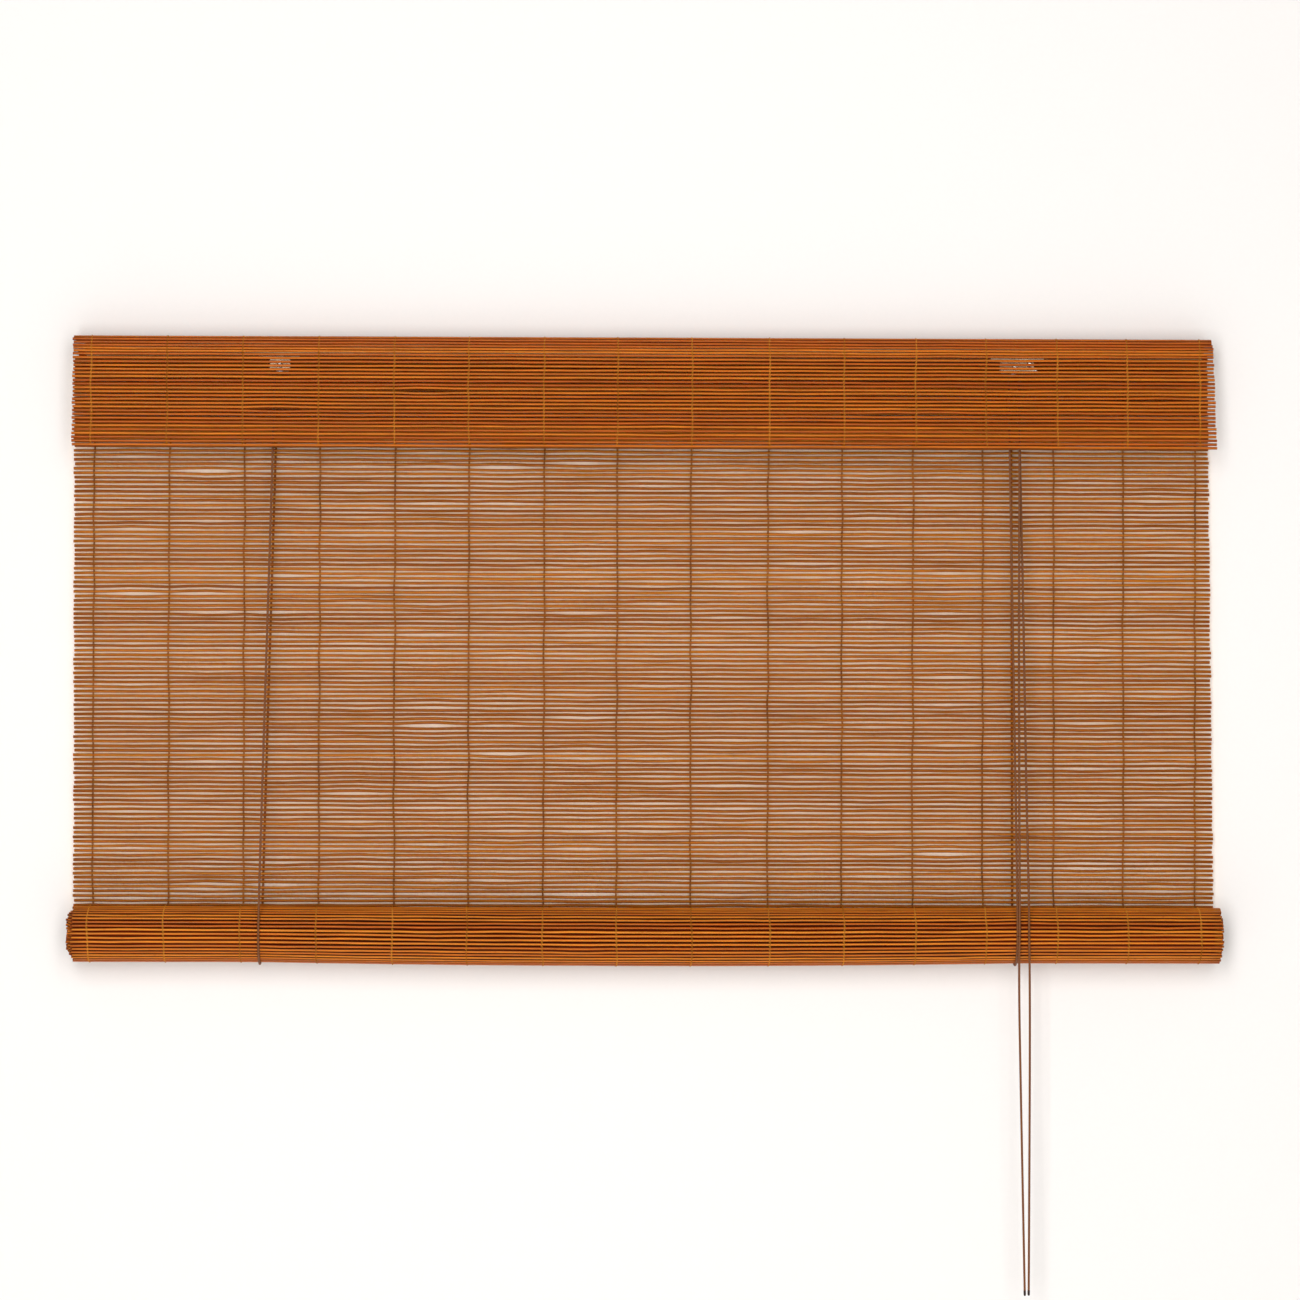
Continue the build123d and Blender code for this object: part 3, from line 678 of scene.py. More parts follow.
@dataclass
class Weave:
    """What the whole mat has in common: its sticks, its warps and how freely the sticks lie."""

    half_width: float = field(default_factory=lambda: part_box("drop_sticks")[1].x)
    stick_radius: float = field(
        default_factory=lambda: (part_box("drop_sticks")[1].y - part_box("drop_sticks")[0].y) / 2
    )
    wide_gaps: int = 9
    narrow_gaps: int = 6
    spacing_ratio: float = 1.048
    strand_radius: float = 0.35 * MM
    strand_side: float = 0.4 * MM
    strand_sides: int = 5
    thread_share: float = 0.27
    wander: float = 0.9 * MM
    samples_per_row: int = 4
    offsets: tuple[float, ...] = (
        0.0, 0.2, 0.4, 0.6, 0.7, 0.1, 0.3, -1.1, -1.7, 0.1, 2.1, 1.9, 0.8, 0.6, -0.6, 0.0,
    )

    def __post_init__(self) -> None:
        """Works out the two warp spacings."""
        low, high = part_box("drop_threads")
        edge = self.stick_radius * self.thread_share
        self.first = low.x + edge
        woven = high.x - low.x - 2 * edge
        self.narrow = woven / (self.wide_gaps * self.spacing_ratio + self.narrow_gaps)
        self.wide = self.narrow * self.spacing_ratio

    def warps(self) -> list[float]:
        """Gives where the warps cross the sticks, from left to right."""
        places = [self.first]
        for gap in range(self.wide_gaps + self.narrow_gaps):
            places.append(places[-1] + (self.wide if gap < self.wide_gaps else self.narrow))
        return [place + offset * MM for place, offset in zip(places, self.offsets)]

    def slack(self, t: Wiring, x: Any) -> bpy.types.NodeSocket:
        """Adds nodes that give how free a stick is, from 0 at a warp to 1 midway between two.

        Args:
            t: The tree to add them to.
            x: The place along the stick.

        Returns:
            The share of freedom.
        """
        past = t.math("SUBTRACT", x, self.first)
        broad = t.math("DIVIDE", past, self.wide)
        slim = t.math("DIVIDE", t.math("SUBTRACT", past, self.wide_gaps * self.wide), self.narrow)
        late = t.math("GREATER_THAN", broad, float(self.wide_gaps))
        share = t.total(broad, t.product(late, t.math("SUBTRACT", slim, broad)))
        wave = t.math("SINE", t.product(share, math.pi))
        return t.product(wave, wave)

    def sagging(self, t: GeometryTree, x: Any, amount: Any) -> bpy.types.NodeSocket:
        """Adds nodes that let a turn of the roll hang lower between the two lift cords.

        Args:
            t: The tree to add them to.
            x: The place along the stick.
            amount: How far the underside hangs lower halfway between the cords.

        Returns:
            The move, least on top of the roll and most under it.
        """
        left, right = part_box("left_cord_bight")[0].x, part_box("right_cord_bight")[1].x
        across = t.math("DIVIDE", t.math("SUBTRACT", x, (left + right) / 2), (right - left) / 2)
        bell = t.math("MAXIMUM", t.math("SUBTRACT", 1.0, t.product(across, across)), 0.0)
        up = t.split(t.named("face", "FLOAT_VECTOR"))[2]
        under = t.math("MULTIPLY_ADD", up, -0.4, 0.6)
        return t.xyz(0.0, 0.0, t.product(bell, under, amount, -1.0))

    def drift(self, t: Wiring, x: Any, row: Any, amount: Any, seed: Any) -> bpy.types.NodeSocket:
        """Adds nodes that give the slow sliding of the sticks and warps down the mat.

        Args:
            t: The tree to add them to.
            x: The place along the stick.
            row: The stick's number.
            amount: The furthest slide.
            seed: A number for this mat.

        Returns:
            The slide, in metres.
        """
        return t.product(t.ripple(x, 2.6, row, 0.11, seed), amount)


def row_mesh(name: str, rows: Sequence[Row]) -> bpy.types.Mesh:
    """Makes a mesh of one vertex a stick, which carries the stick's place and ends.

    Args:
        name: The mesh's name.
        rows: The sticks in order down the mat.

    Returns:
        The mesh.
    """
    mesh = bpy.data.meshes.new(name)
    mesh.from_pydata([(0.0, row.y, row.z) for row in rows], [], [])
    store(mesh, "row", [float(i) for i in range(len(rows))])
    for label in ("left", "right", "loose"):
        store(mesh, label, [getattr(row, label) for row in rows])
    for label in ("run", "face"):
        store(mesh, label, [c for row in rows for c in getattr(row, label)], "vector")
    return mesh


def path_mesh(name: str, rows: Sequence[Row], samples: int, room: float) -> bpy.types.Mesh:
    """Makes the line that a warp strand follows past the sticks.

    Args:
        name: The mesh's name.
        rows: The sticks in order down the mat.
        samples: Points from one stick to the next.
        room: How far a strand may pass behind the sticks.

    Returns:
        A mesh of one open line.
    """
    places, numbers, runs, faces = [], [], [], []
    for index in range(len(rows) * samples - samples + 1):
        at = index / samples
        a = rows[int(at)]
        b = rows[min(int(at) + 1, len(rows) - 1)]
        share = at - int(at)
        places.append((0.0, a.y + (b.y - a.y) * share, a.z + (b.z - a.z) * share))
        numbers.append(at)
        runs.extend(a.run.lerp(b.run, share).normalized())
        faces.extend(a.face.lerp(b.face, share).normalized())
    mesh = bpy.data.meshes.new(name)
    mesh.from_pydata(places, [(i, i + 1) for i in range(len(places) - 1)], [])
    store(mesh, "row", numbers)
    store(mesh, "room", [room] * len(numbers))
    store(mesh, "run", runs, "vector")
    store(mesh, "face", faces, "vector")
    return mesh


@dataclass
class MatPart:
    """One part of the mat: its rows of sticks and its warps."""

    weave: Weave
    rows: list[Row]
    seed: float
    drift: float = 0.3 * MM
    bow: float = 0.35 * MM
    bunch: float = 0.3 * MM
    settle: float = 0.1 * MM
    ragged: float = 1.2 * MM
    depth: float = 0.12 * MM
    fullness: float = 1.03
    patchiness: float = 0.03
    sag: float = 0.0
    points: int = 61
    sides: int = 8
    partings: Sequence[Parting] = ()

    def sticks(self, name: str, finish: bpy.types.Material) -> bpy.types.Object:
        """Builds the sticks, each bowed a little between the warps.

        Args:
            name: The piece's name.
            finish: The piece's finish.

        Returns:
            The piece.
        """
        own = (
            "points", "sides", "drift", "bow", "bunch", "settle", "ragged", "depth",
            "fullness", "patchiness", "sag", "seed",
        )
        inputs = {"Stick Radius": self.weave.stick_radius}
        inputs.update({label.title(): getattr(self, label) for label in own})
        t = GeometryTree(f"{name}_rows", {**inputs, "Finish": finish})
        seed = t.input("Seed")
        line = t.use("GeometryNodeCurvePrimitiveLine", {"End": (1.0, 0.0, 0.0)}).outputs[0]
        line = t.use("GeometryNodeResampleCurve", {"Curve": line, "Count": t.input("Points")})
        sticks = t.spread(line.outputs[0], t.start.outputs[0])
        row = t.named("row")
        ends = []
        for side, (edge, sign) in enumerate((("left", -1.0), ("right", 1.0))):
            spare = t.product(t.chance(-1.0, 0.35, row, t.total(seed, 11.0 + side)), sign)
            ends.append(t.total(t.named(edge), t.product(spare, t.input("Ragged"))))
        share = t.add("GeometryNodeSplineParameter").outputs["Factor"]
        x = t.math("MULTIPLY_ADD", share, t.math("SUBTRACT", ends[1], ends[0]), ends[0])
        slack = self.weave.slack(t, x)
        lean = t.ripple(x, 11.0, row, 5.3, t.total(seed, 3.0))
        crowd = t.ripple(x, 15.0, row, 0.37, t.total(seed, 5.0))
        strong = t.product(lean, t.math("ABSOLUTE", lean))
        bend = t.total(t.product(lean, 0.35), t.product(strong, 0.65))
        rest = t.ripple(x, 2.2, row, 4.3, t.total(seed, 13.0))
        slide = t.total(
            self.weave.drift(t, x, row, t.input("Drift"), seed),
            t.product(rest, t.input("Settle")),
            t.product(bend, t.input("Bow"), slack),
            t.product(crowd, t.input("Bunch"), slack),
            *[self._part(t, parting, x, row, slack) for parting in self.partings],
        )
        slide = t.product(slide, t.named("loose"))
        deep = t.ripple(x, 6.0, row, 3.1, t.total(seed, 7.0))
        _, y, z = t.split(t.add("GeometryNodeInputPosition").outputs[0])
        place = t.moved(
            t.xyz(x, y, z),
            t.scaled(t.named("run", "FLOAT_VECTOR"), slide),
            t.scaled(t.named("face", "FLOAT_VECTOR"), t.product(deep, t.input("Depth"), slack)),
            self.weave.sagging(t, x, t.input("Sag")),
        )
        sticks = t.placed(sticks, place)
        girth = t.noise(t.xyz(t.product(x, 14.0), t.product(row, 9.7), seed))
        patch = t.ripple(x, 11.0, row, 0.24, t.total(seed, 9.0))
        width = t.total(
            t.input("Fullness"),
            t.chance(-0.04, 0.04, row, 5.0),
            t.product(t.math("SUBTRACT", girth, 0.5), 0.12),
            t.product(patch, t.input("Patchiness")),
        )
        sticks = t.girthed(sticks, width)
        sticks = t.keep(sticks, "tone", t.chance(0.0, 1.0, row, 17.0))
        mesh = t.tube(sticks, t.input("Stick Radius"), t.input("Sides"))
        normal = t.add("GeometryNodeInputNormal").outputs[0]
        facing = {0: normal, 1: t.named("face", "FLOAT_VECTOR")}
        facing = t.use("ShaderNodeVectorMath", facing, operation="DOT_PRODUCT").outputs["Value"]
        t.close(t.keep(mesh, "facing", facing))
        return t.run(name, row_mesh(f"{name}_places", self.rows), keep=("tone", "facing"))

    @staticmethod
    def _part(t: Wiring, parting: Parting, x: Any, row: Any, slack: Any) -> Any:
        """Adds the nodes of one parting and gives how far it slides a stick."""
        across = t.math("DIVIDE", t.math("SUBTRACT", x, parting.x), parting.half_width)
        bell = t.math("EXPONENT", t.product(across, across, -1.0))
        down = t.math("SUBTRACT", row, parting.row)
        fade = t.math("EXPONENT", t.product(t.math("ABSOLUTE", down), -parting.fade))
        wide = t.math("POWER", slack, parting.flatness)
        opening = parting.opening * parting.spread
        return t.product(bell, t.math("SIGN", down), fade, wide, opening)

    def warps(self, name: str, finish: bpy.types.Material, room: float = 1.0) -> bpy.types.Object:
        """Builds the warps: two strands each, which twist round every stick.

        Args:
            name: The piece's name.
            finish: The piece's finish.
            room: How far behind the sticks a strand may pass, as a share of its full way.

        Returns:
            The piece.
        """
        weave = self.weave
        reach = weave.stick_radius + weave.strand_radius
        path = path_mesh(f"{name}_guide", self.rows, weave.samples_per_row, reach * room)
        guide = put(f"{name}_guide", path)
        t = GeometryTree(
            f"{name}_strands",
            {
                "Guide": guide, "Strand Radius": weave.strand_radius, "Reach": reach,
                "Side": weave.strand_side, "Drift": self.drift, "Sag": self.sag,
                "Seed": self.seed, "Finish": finish,
            },
        )
        seed = t.input("Seed")
        line = t.use("GeometryNodeObjectInfo", {"Object": t.input("Guide")}).outputs["Geometry"]
        line = t.use("GeometryNodeMeshToCurve", {0: line}).outputs[0]
        strands = t.spread(line, t.start.outputs[0])
        x, y, z = t.split(t.add("GeometryNodeInputPosition").outputs[0])
        row = t.named("row")
        side = t.named("strand")
        turn = t.product(row, math.pi)
        out = t.product(t.math("COSINE", turn), side, t.input("Reach"))
        out = t.math("MAXIMUM", out, t.product(t.named("room"), -1.0))
        aside = t.product(t.math("SINE", turn), side, t.input("Side"))
        wander = t.ripple(x, 7.0, row, 0.13, t.total(seed, 21.0))
        aside = t.total(aside, t.product(wander, weave.wander))
        slide = weave.drift(t, x, row, t.input("Drift"), seed)
        place = t.moved(
            t.xyz(t.total(x, aside), y, z),
            t.scaled(t.named("run", "FLOAT_VECTOR"), slide),
            t.scaled(t.named("face", "FLOAT_VECTOR"), out),
            weave.sagging(t, x, t.input("Sag")),
        )
        strands = t.girthed(t.placed(strands, place), 1.0)
        t.close(t.tube(strands, t.input("Strand Radius"), weave.strand_sides))
        crossings = bpy.data.meshes.new(f"{name}_places")
        pairs = [(warp, strand.value) for warp in weave.warps() for strand in Strand]
        crossings.from_pydata([(warp, 0.0, 0.0) for warp, _ in pairs], [], [])
        store(crossings, "strand", [strand for _, strand in pairs])
        piece = t.run(name, crossings)
        bpy.data.objects.remove(guide)
        return piece


# ---- Valance, drop and roll ----
@dataclass
class Valance:
    """The mat drawn tight over the batten, and the flap that hangs in front of it."""

    weave: Weave
    wrap_pitch: float = 2.3 * MM
    flap_pitch: float = 2.95 * MM
    edge: float = 2.5 * MM
    rear_heights: tuple[float, ...] = (-5.2 * MM, -2.6 * MM, 2.6 * MM)
    rear_top: float = 5.9 * MM
    rear_insets: tuple[float, float] = (2.0 * MM, 3.0 * MM)
    wrap_inset: float = 0.4 * MM
    flap_inset: float = 0.2 * MM
    right_inset: float = 2.2 * MM
    top_inset: float = 1.4 * MM
    foot_gain: float = 1.9 * MM
    lean: float = 6.0 * MM
    fullness: float = 1.16
    flap_rows: int = 30
    partings: Places = (
        (-180.0, -33.0, 28.0, 1.4),
        (210.0, -52.0, 26.0, 1.2),
        (-290.0, -50.0, 24.0, 1.3),
        (395.0, -40.0, 22.0, 1.2),
        (20.0, -66.0, 26.0, 1.1),
    )

    def rows(self) -> list[Row]:
        """Gives the rows from the batten's back over its top and down the flap."""
        low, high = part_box("head_batten")
        radius = self.weave.stick_radius * self.fullness
        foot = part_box("valance_sticks")[0].z + self.weave.stick_radius
        front, rear = low.y - radius, high.y + radius
        bend = self.edge + radius
        shoulder = high.z - self.edge
        half = self.weave.half_width
        left, right = self.rear_insets[0] - half, half - self.rear_insets[1]
        rows = [
            Row(rear, z, Vector((0, 0, 1)), Vector((0, 1, 0)), left, right)
            for z in self.rear_heights
        ]
        side = high.z - low.z - self.edge
        top = high.y - low.y - 2 * self.edge
        arc = bend * math.pi / 2
        over = []
        distance = self.wrap_pitch / 4
        while distance < side + arc + top + arc:
            if distance < side:
                y, z, angle = front, low.z + distance, 0.0
            elif distance < side + arc:
                angle = (distance - side) / bend
                y, z = front + bend - bend * math.cos(angle), shoulder + bend * math.sin(angle)
            elif distance < side + arc + top:
                angle = math.pi / 2
                y, z = front + bend + distance - side - arc, high.z + radius
            else:
                turn = (distance - side - arc - top) / bend
                angle = math.pi / 2 + turn
                y, z = rear - bend + bend * math.sin(turn), shoulder + bend * math.cos(turn)
            if y > high.y and z < self.rear_top:
                break
            run = Vector((0.0, -math.sin(angle), -math.cos(angle)))
            face = Vector((0.0, -math.cos(angle), math.sin(angle)))
            rise = max(0.0, z - low.z) / (high.z - low.z)
            right = half - self.right_inset - self.top_inset * rise**2
            over.append(Row(y, z, run, face, self.wrap_inset - half, right))
            distance += self.wrap_pitch
        rows.extend(reversed(over))
        top = low.z + self.wrap_pitch / 4
        count = round((top - foot) / self.flap_pitch)
        pitch = (top - foot) / count
        drop = low.z - foot
        tilt = Vector((0.0, -self.lean, -drop)).normalized()
        out = Vector((0.0, -drop, self.lean)).normalized()
        for index in reversed(range(count)):
            z = foot + index * pitch
            share = max(0.0, low.z - z) / drop
            right = half - self.right_inset + self.foot_gain * share
            left = self.flap_inset - half
            rows.append(Row(front - self.lean * share, z, tilt, out, left, right))
        return rows

    def build(self, bamboo: bpy.types.Material, thread: bpy.types.Material) -> None:
        """Builds the valance's sticks and warps, which stay with the headrail."""
        rows = self.rows()
        above = len(rows) - self.flap_rows
        partings = [
            Parting(x * MM, row_at(rows[above:], z * MM) + above, width * MM, size * MM)
            for x, z, width, size in self.partings
        ]
        part = MatPart(
            self.weave, rows, seed=31.0, drift=0.2 * MM, bow=0.3 * MM, bunch=0.35 * MM,
            settle=0.22 * MM, depth=0.1 * MM, ragged=0.8 * MM, fullness=self.fullness,
            partings=partings,
        )
        sticks = part.sticks("valance_stick_rows", bamboo)
        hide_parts("valance_sticks")
        threads = part.warps("valance_warp_strands", thread, room=0.55)
        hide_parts("valance_threads")
        for piece in (sticks, threads):
            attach(piece, "headrail")
            report(piece)


def row_at(rows: Sequence[Row], height: float) -> float:
    """Gives the row number, with its fraction, at a height on rows that run downwards."""
    for index, (above, below) in enumerate(zip(rows, rows[1:])):
        if above.z >= height > below.z:
            return index + (above.z - height) / (above.z - below.z)
    return 0.5


@dataclass
class Drop:
    """The free part of the mat, from the batten to the roll."""

    weave: Weave
    pitch: float = 3.59 * MM
    top_pitch: float = 2.3 * MM
    hidden_looseness: float = 0.2
    overlap: float = 1.2
    top_ends: tuple[float, float] = (1.2 * MM, -3.6 * MM)
    foot_ends: tuple[float, float] = (0.2 * MM, 1.6 * MM)
    partings: Places = (
        (-342, -94, 50, 1.2), (-288, -89, 26, 0.9), (-120, -91, 34, 1.1), (-52, -87, 32, 0.9),
        (-372, -192, 46, 1.2), (-284, -178, 24, 1.1), (-312, -205, 50, 1.1), (-50, -206, 36, 1.4),
        (70, -211, 40, 1.2), (-287, -251, 30, 0.9), (243, -256, 40, 1.1), (-180, -296, 44, 1.2),
        (-55, -290, 32, 0.9), (250, -310, 30, 1.1), (-113, -319, 36, 1.1), (68, -341, 38, 1.1),
        (66, -362, 30, 0.9), (-290, -402, 36, 1.1), (-300, -421, 50, 1.3), (-380, -426, 36, 0.9),
        (-150, -419, 44, 1.1), (-30, -428, 48, 1.0), (228, -398, 36, 0.9), (345, -372, 36, 0.8),
        (395, -118, 34, 0.8), (130, -140, 36, 0.8), (330, -330, 36, 0.8), (10, -262, 34, 0.8),
        (-420, -150, 30, 0.8), (-230, -350, 34, 0.8), (180, -180, 36, 0.8), (-400, -340, 34, 0.8),
    )

    def rows(self) -> list[Row]:
        """Gives the rows from the top down."""
        low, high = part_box("drop_sticks")
        radius = self.weave.stick_radius
        half = self.weave.half_width
        y = (low.y + high.y) / 2
        heights = [low.z + radius]
        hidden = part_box("valance_sticks")[0].z + self.pitch / 2
        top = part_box("head_batten")[0].z - radius * self.overlap
        while heights[-1] < top:
            share = min(1.0, max(0.0, (heights[-1] - hidden) / (top - hidden)))
            heights.append(heights[-1] + self.pitch + (self.top_pitch - self.pitch) * share**0.2)
        rows = []
        for z in reversed(heights[:-1]):
            down = (top - z) / (top - heights[0])
            left, right = (a + (b - a) * down for a, b in zip(self.top_ends, self.foot_ends))
            loose = self.hidden_looseness if z > hidden else 1.0
            ends = (-half - left, half + right)
            rows.append(Row(y, z, Vector(DOWN), Vector(TO_ROOM), *ends, loose))
        return rows

    def build(self, bamboo: bpy.types.Material, thread: bpy.types.Material) -> None:
        """Builds the drop's sticks and warps, which stay with the headrail."""
        rows = self.rows()
        partings = [
            Parting(x * MM, round(row_at(rows, z * MM)) + 0.5, width * MM, size * MM)
            for x, z, width, size in self.partings
        ]
        part = MatPart(
            self.weave, rows, seed=4.0, drift=0.35 * MM, bow=0.5 * MM, bunch=0.8 * MM,
            settle=0.25 * MM, ragged=0.9 * MM, fullness=1.24, patchiness=0.08, partings=partings,
        )
        sticks = part.sticks("drop_stick_rows", bamboo)
        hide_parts("drop_sticks")
        threads = part.warps("drop_warp_strands", thread)
        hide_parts("drop_threads")
        for piece in (sticks, threads):
            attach(piece, "headrail")
            shorten(piece)
            report(piece)


@dataclass
class Roll:
    """The rolled up rest of the mat, a spiral of sticks round a dowel."""

    weave: Weave
    pitch: float = 3.1 * MM
    layer: float = 2.45 * MM
    inset: float = 1.15 * MM
    core: float = 7.3 * MM
    start: float = math.radians(20.0)
    round_turn: float = math.radians(285.0)
    telescope_radius: float = 13.5 * MM
    skew: float = 1.75 * MM
    first_shrink: float = 3.5
    outer_rows: int = 46
    sag: float = 2.6 * MM

    def rows(self) -> list[Row]:
        """Gives the rows from the drop's foot down, forward, up and inwards."""
        low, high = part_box("roll_mat")
        centre_y, centre_z = (low.y + high.y) / 2, (low.z + high.z) / 2
        outside = (high.z - low.z) / 2
        half = self.weave.half_width
        spare = (high.x - low.x) / 2 - half
        left_spare, right_spare = spare + self.skew, spare - self.skew
        middle = (low.x + high.x) / 2 + self.skew
        radius, turned = outside - self.inset, 0.0
        rows = []
        while radius > self.core:
            angle = self.start - turned
            out = Vector((0.0, math.cos(angle), math.sin(angle)))
            run = Vector((0.0, math.sin(angle), -math.cos(angle)))
            place = Vector((0.0, centre_y, centre_z)) + out * radius
            deep = min(1.0, max(0.0, (outside - radius) / (outside - self.telescope_radius)))
            left = middle - half - left_spare * deep
            right = middle + half + right_spare * deep
            rows.append(Row(place.y, place.z, run, out, left, right))
            step = self.pitch / radius
            turned += step
            if turned > self.round_turn:
                shrink = self.first_shrink if turned < 2 * math.pi else 1.0
                radius -= shrink * self.layer * step / (2 * math.pi)
        return rows

    def build(
        self, bamboo: bpy.types.Material, inside: bpy.types.Material, thread: bpy.types.Material
    ) -> None:
        """Builds the outer turn in full, plainer inner turns, and the outer turn's warps."""
        rows = self.rows()
        outer = MatPart(
            self.weave, rows[: self.outer_rows], seed=52.0, drift=0.25 * MM, bow=0.4 * MM,
            bunch=0.55 * MM, settle=0.32 * MM, depth=0.1 * MM, ragged=1.0 * MM, fullness=1.15,
            sag=self.sag,
        )
        sticks = outer.sticks("roll_outer_stick_rows", bamboo)
        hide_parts("roll_mat")
        inner = MatPart(
            self.weave, rows[self.outer_rows :], seed=67.0, drift=0.1 * MM, bow=0.0, bunch=0.0,
            depth=0.0, ragged=1.8 * MM, points=7, sides=7,
        )
        turns = inner.sticks("roll_inner_stick_rows", inside)
        threads = outer.warps("roll_warp_strands", thread)
        for piece in (sticks, turns, threads):
            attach(piece, "roll")
            report(piece)


def shorten(piece: bpy.types.Object) -> None:
    """Gives a hanging piece its own copy of its mesh.

    Args:
        piece: A finished mesh that hangs from the headrail.
    """
    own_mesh(piece)


def report(piece: bpy.types.Object) -> None:
    """Logs what a finished piece holds."""
    triangles = sum(len(face.vertices) - 2 for face in piece.data.polygons)
    LOG.info("%s: %d triangles", piece.name, triangles)


# ---- Cords ----
class Motion(Enum):
    """How a cord follows the blind."""

    FIXED = "stays with the headrail"
    CARRIED = "rises with the roll"
    SHORTENED = "is drawn up as the roll rises"
    PULLED = "runs down from the roll as it is pulled"


@dataclass
class CordRun:
    """One run of cord: its route, how it moves, and the solids that it stands for."""

    name: str
    route: Sequence[Triple]
    motion: Motion
    nodes: tuple[str, ...]
    anchor: float = 0.0
    sealed: float = 0.0
    free: dict[str, Any] = field(default_factory=dict)


@dataclass
class Cords:
    """The two lift cords and their pull cords."""

    finish: bpy.types.Material
    diameter: float = 1.8 * MM
    step: float = 1.2 * MM
    sides: int = 10
    tip: float = 4.0 * MM
    pitch_radius: float = 4.3 * MM
    straight: float = 9.0 * MM
    clear: float = 0.3 * MM
    stack: float = 1.7 * MM
    sag: float = 1.2 * MM
    turn_steps: int = 24
    smoothness: int = 16
    melt_start: float = 0.2 * MM
    melt_face: float = 0.3 * MM
    melt_swell: float = 0.1
    melt_taper: float = 0.4
    lengths: dict[str, tuple[float, float]] = field(
        default_factory=lambda: {"front": (0.4483, 0.2803), "rear": (0.4487, 0.2803)}
    )
    front_sway: Sway = (
        (0.0, 0.0), (0.06, -0.1), (0.23, -0.6), (0.49, -1.6), (0.77, -1.9), (1.0, -2.1),
    )
    rear_sway: Sway = (
        (0.0, 0.0), (0.09, 0.1), (0.3, 1.5), (0.51, 2.7), (0.79, 3.9), (1.0, 5.5),
    )
    front_tail: Sway = ((0.0, -2.1), (0.09, -2.9), (0.46, -0.9), (1.0, 2.3))
    rear_tail: Sway = ((0.0, 5.5), (0.11, 6.2), (0.53, 6.1), (1.0, 5.5))

    def __post_init__(self) -> None:
        """Reads the places of the wheels, the roll and the bights from the frame."""
        low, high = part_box("roll_mat")
        self.roll = Vector((0.0, (low.y + high.y) / 2, (low.z + high.z) / 2))
        self.roll_radius = (high.z - low.z) / 2
        low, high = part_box("right_cord_bight")
        self.front_y, self.rear_y = low.y + self.diameter / 2, high.y - self.diameter / 2
        self.right_x = (low.x + high.x) / 2
        low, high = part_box("left_cord_bight")
        self.left_x = (low.x + high.x) / 2
        self.front_wheel = self._middle("cord_lock_front_wheel")
        self.rear_wheel = self._middle("cord_lock_rear_wheel")
        self.left_wheel = self._middle("left_pulley_wheel")

    @staticmethod
    def _middle(node: str) -> Vector:
        """Gives the middle of a CAD node's box."""
        low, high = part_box(node)
        return (low + high) / 2

    def _spline(self, name: str, route: Sequence[Triple]) -> bpy.types.Object:
        """Makes the smooth line of a route as a curve with no section."""
        curve = bpy.data.curves.new(name, "CURVE")
        curve.dimensions = "3D"
        curve.resolution_u = self.smoothness
        spline = curve.splines.new("NURBS")
        spline.points.add(len(route) - 1)
        for point, place in zip(spline.points, route):
            point.co = (*place, 1.0)
        spline.order_u = 3
        spline.use_endpoint_u = True
        return put(name, curve)

    def _tree(self, name: str, sealed: float) -> GeometryTree:
        """Makes the tree that gives a line its braided section and its sealed end."""
        t = GeometryTree(
            name,
            {
                "Cord Radius": self.diameter / 2, "Step": self.step, "Sides": self.sides,
                "Sealed Length": sealed, "Finish": self.finish,
            },
        )
        line = t.use("GeometryNodeMeshToCurve", {0: t.start.outputs[0]}).outputs[0]
        inputs = {"Curve": line, "Length": t.input("Step")}
        line = t.use("GeometryNodeResampleCurve", inputs, mode="LENGTH").outputs[0]
        parameter = t.add("GeometryNodeSplineParameter")
        reach = parameter.outputs["Length"]
        whole = t.add("GeometryNodeSplineLength").outputs["Length"]
        left = t.math("SUBTRACT", whole, reach)
        edge = t.math("SUBTRACT", t.input("Sealed Length"), self.melt_start)
        melted = t.math("LESS_THAN", left, edge)
        last = t.product(t.math("LESS_THAN", left, self.melt_face), melted)
        swell, taper = t.product(melted, self.melt_swell), t.product(last, -self.melt_taper)
        line = t.girthed(line, t.total(1.0, swell, taper))
        line = t.keep(line, "reach", reach)
        line = t.keep(line, "sealed", melted)
        t.close(t.tube(line, t.input("Cord Radius"), t.input("Sides")))
        return t

    def lay(self, run: CordRun) -> bpy.types.Object:
        """Builds one run of cord and gives it its motion.

        Args:
            run: The run.

        Returns:
            The piece.
        """
        line = self._spline(f"{run.name}_route", run.route)
        graph = bpy.context.evaluated_depsgraph_get()
        path = bpy.data.meshes.new_from_object(line.evaluated_get(graph), depsgraph=graph)
        bpy.data.objects.remove(line)
        tree = self._tree(f"{run.name}_section", run.sealed)
        piece = tree.run(run.name, path, keep=("round", "reach", "sealed"))
        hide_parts(*run.nodes)
        if run.motion is Motion.PULLED:
            below = self.roll.z - 4 * self.roll_radius
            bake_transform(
                piece, "cord_bights", "pull_cords",
                start=(0, 0, self.roll.z), end=(0, 0, below),
            )
        else:
            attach(piece, "cord_bights" if run.motion is Motion.CARRIED else "headrail")
            if run.motion is Motion.SHORTENED:
                shorten(piece)
        report(piece)
        return piece

    def _rear(self, fixed: float, bight: float) -> list[Triple]:
        """Gives the way from a staple down behind the mat to a bight."""
        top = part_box("left_lift_cord_rear")[1].z
        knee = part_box("head_batten")[0].z
        low = self.roll.z + self.roll_radius
        return [
            (fixed, self.rear_y, top),
            (fixed, self.rear_y, knee),
            (bight, self.rear_y, low),
            (bight, self.rear_y, self.roll.z + self.clear),
        ]

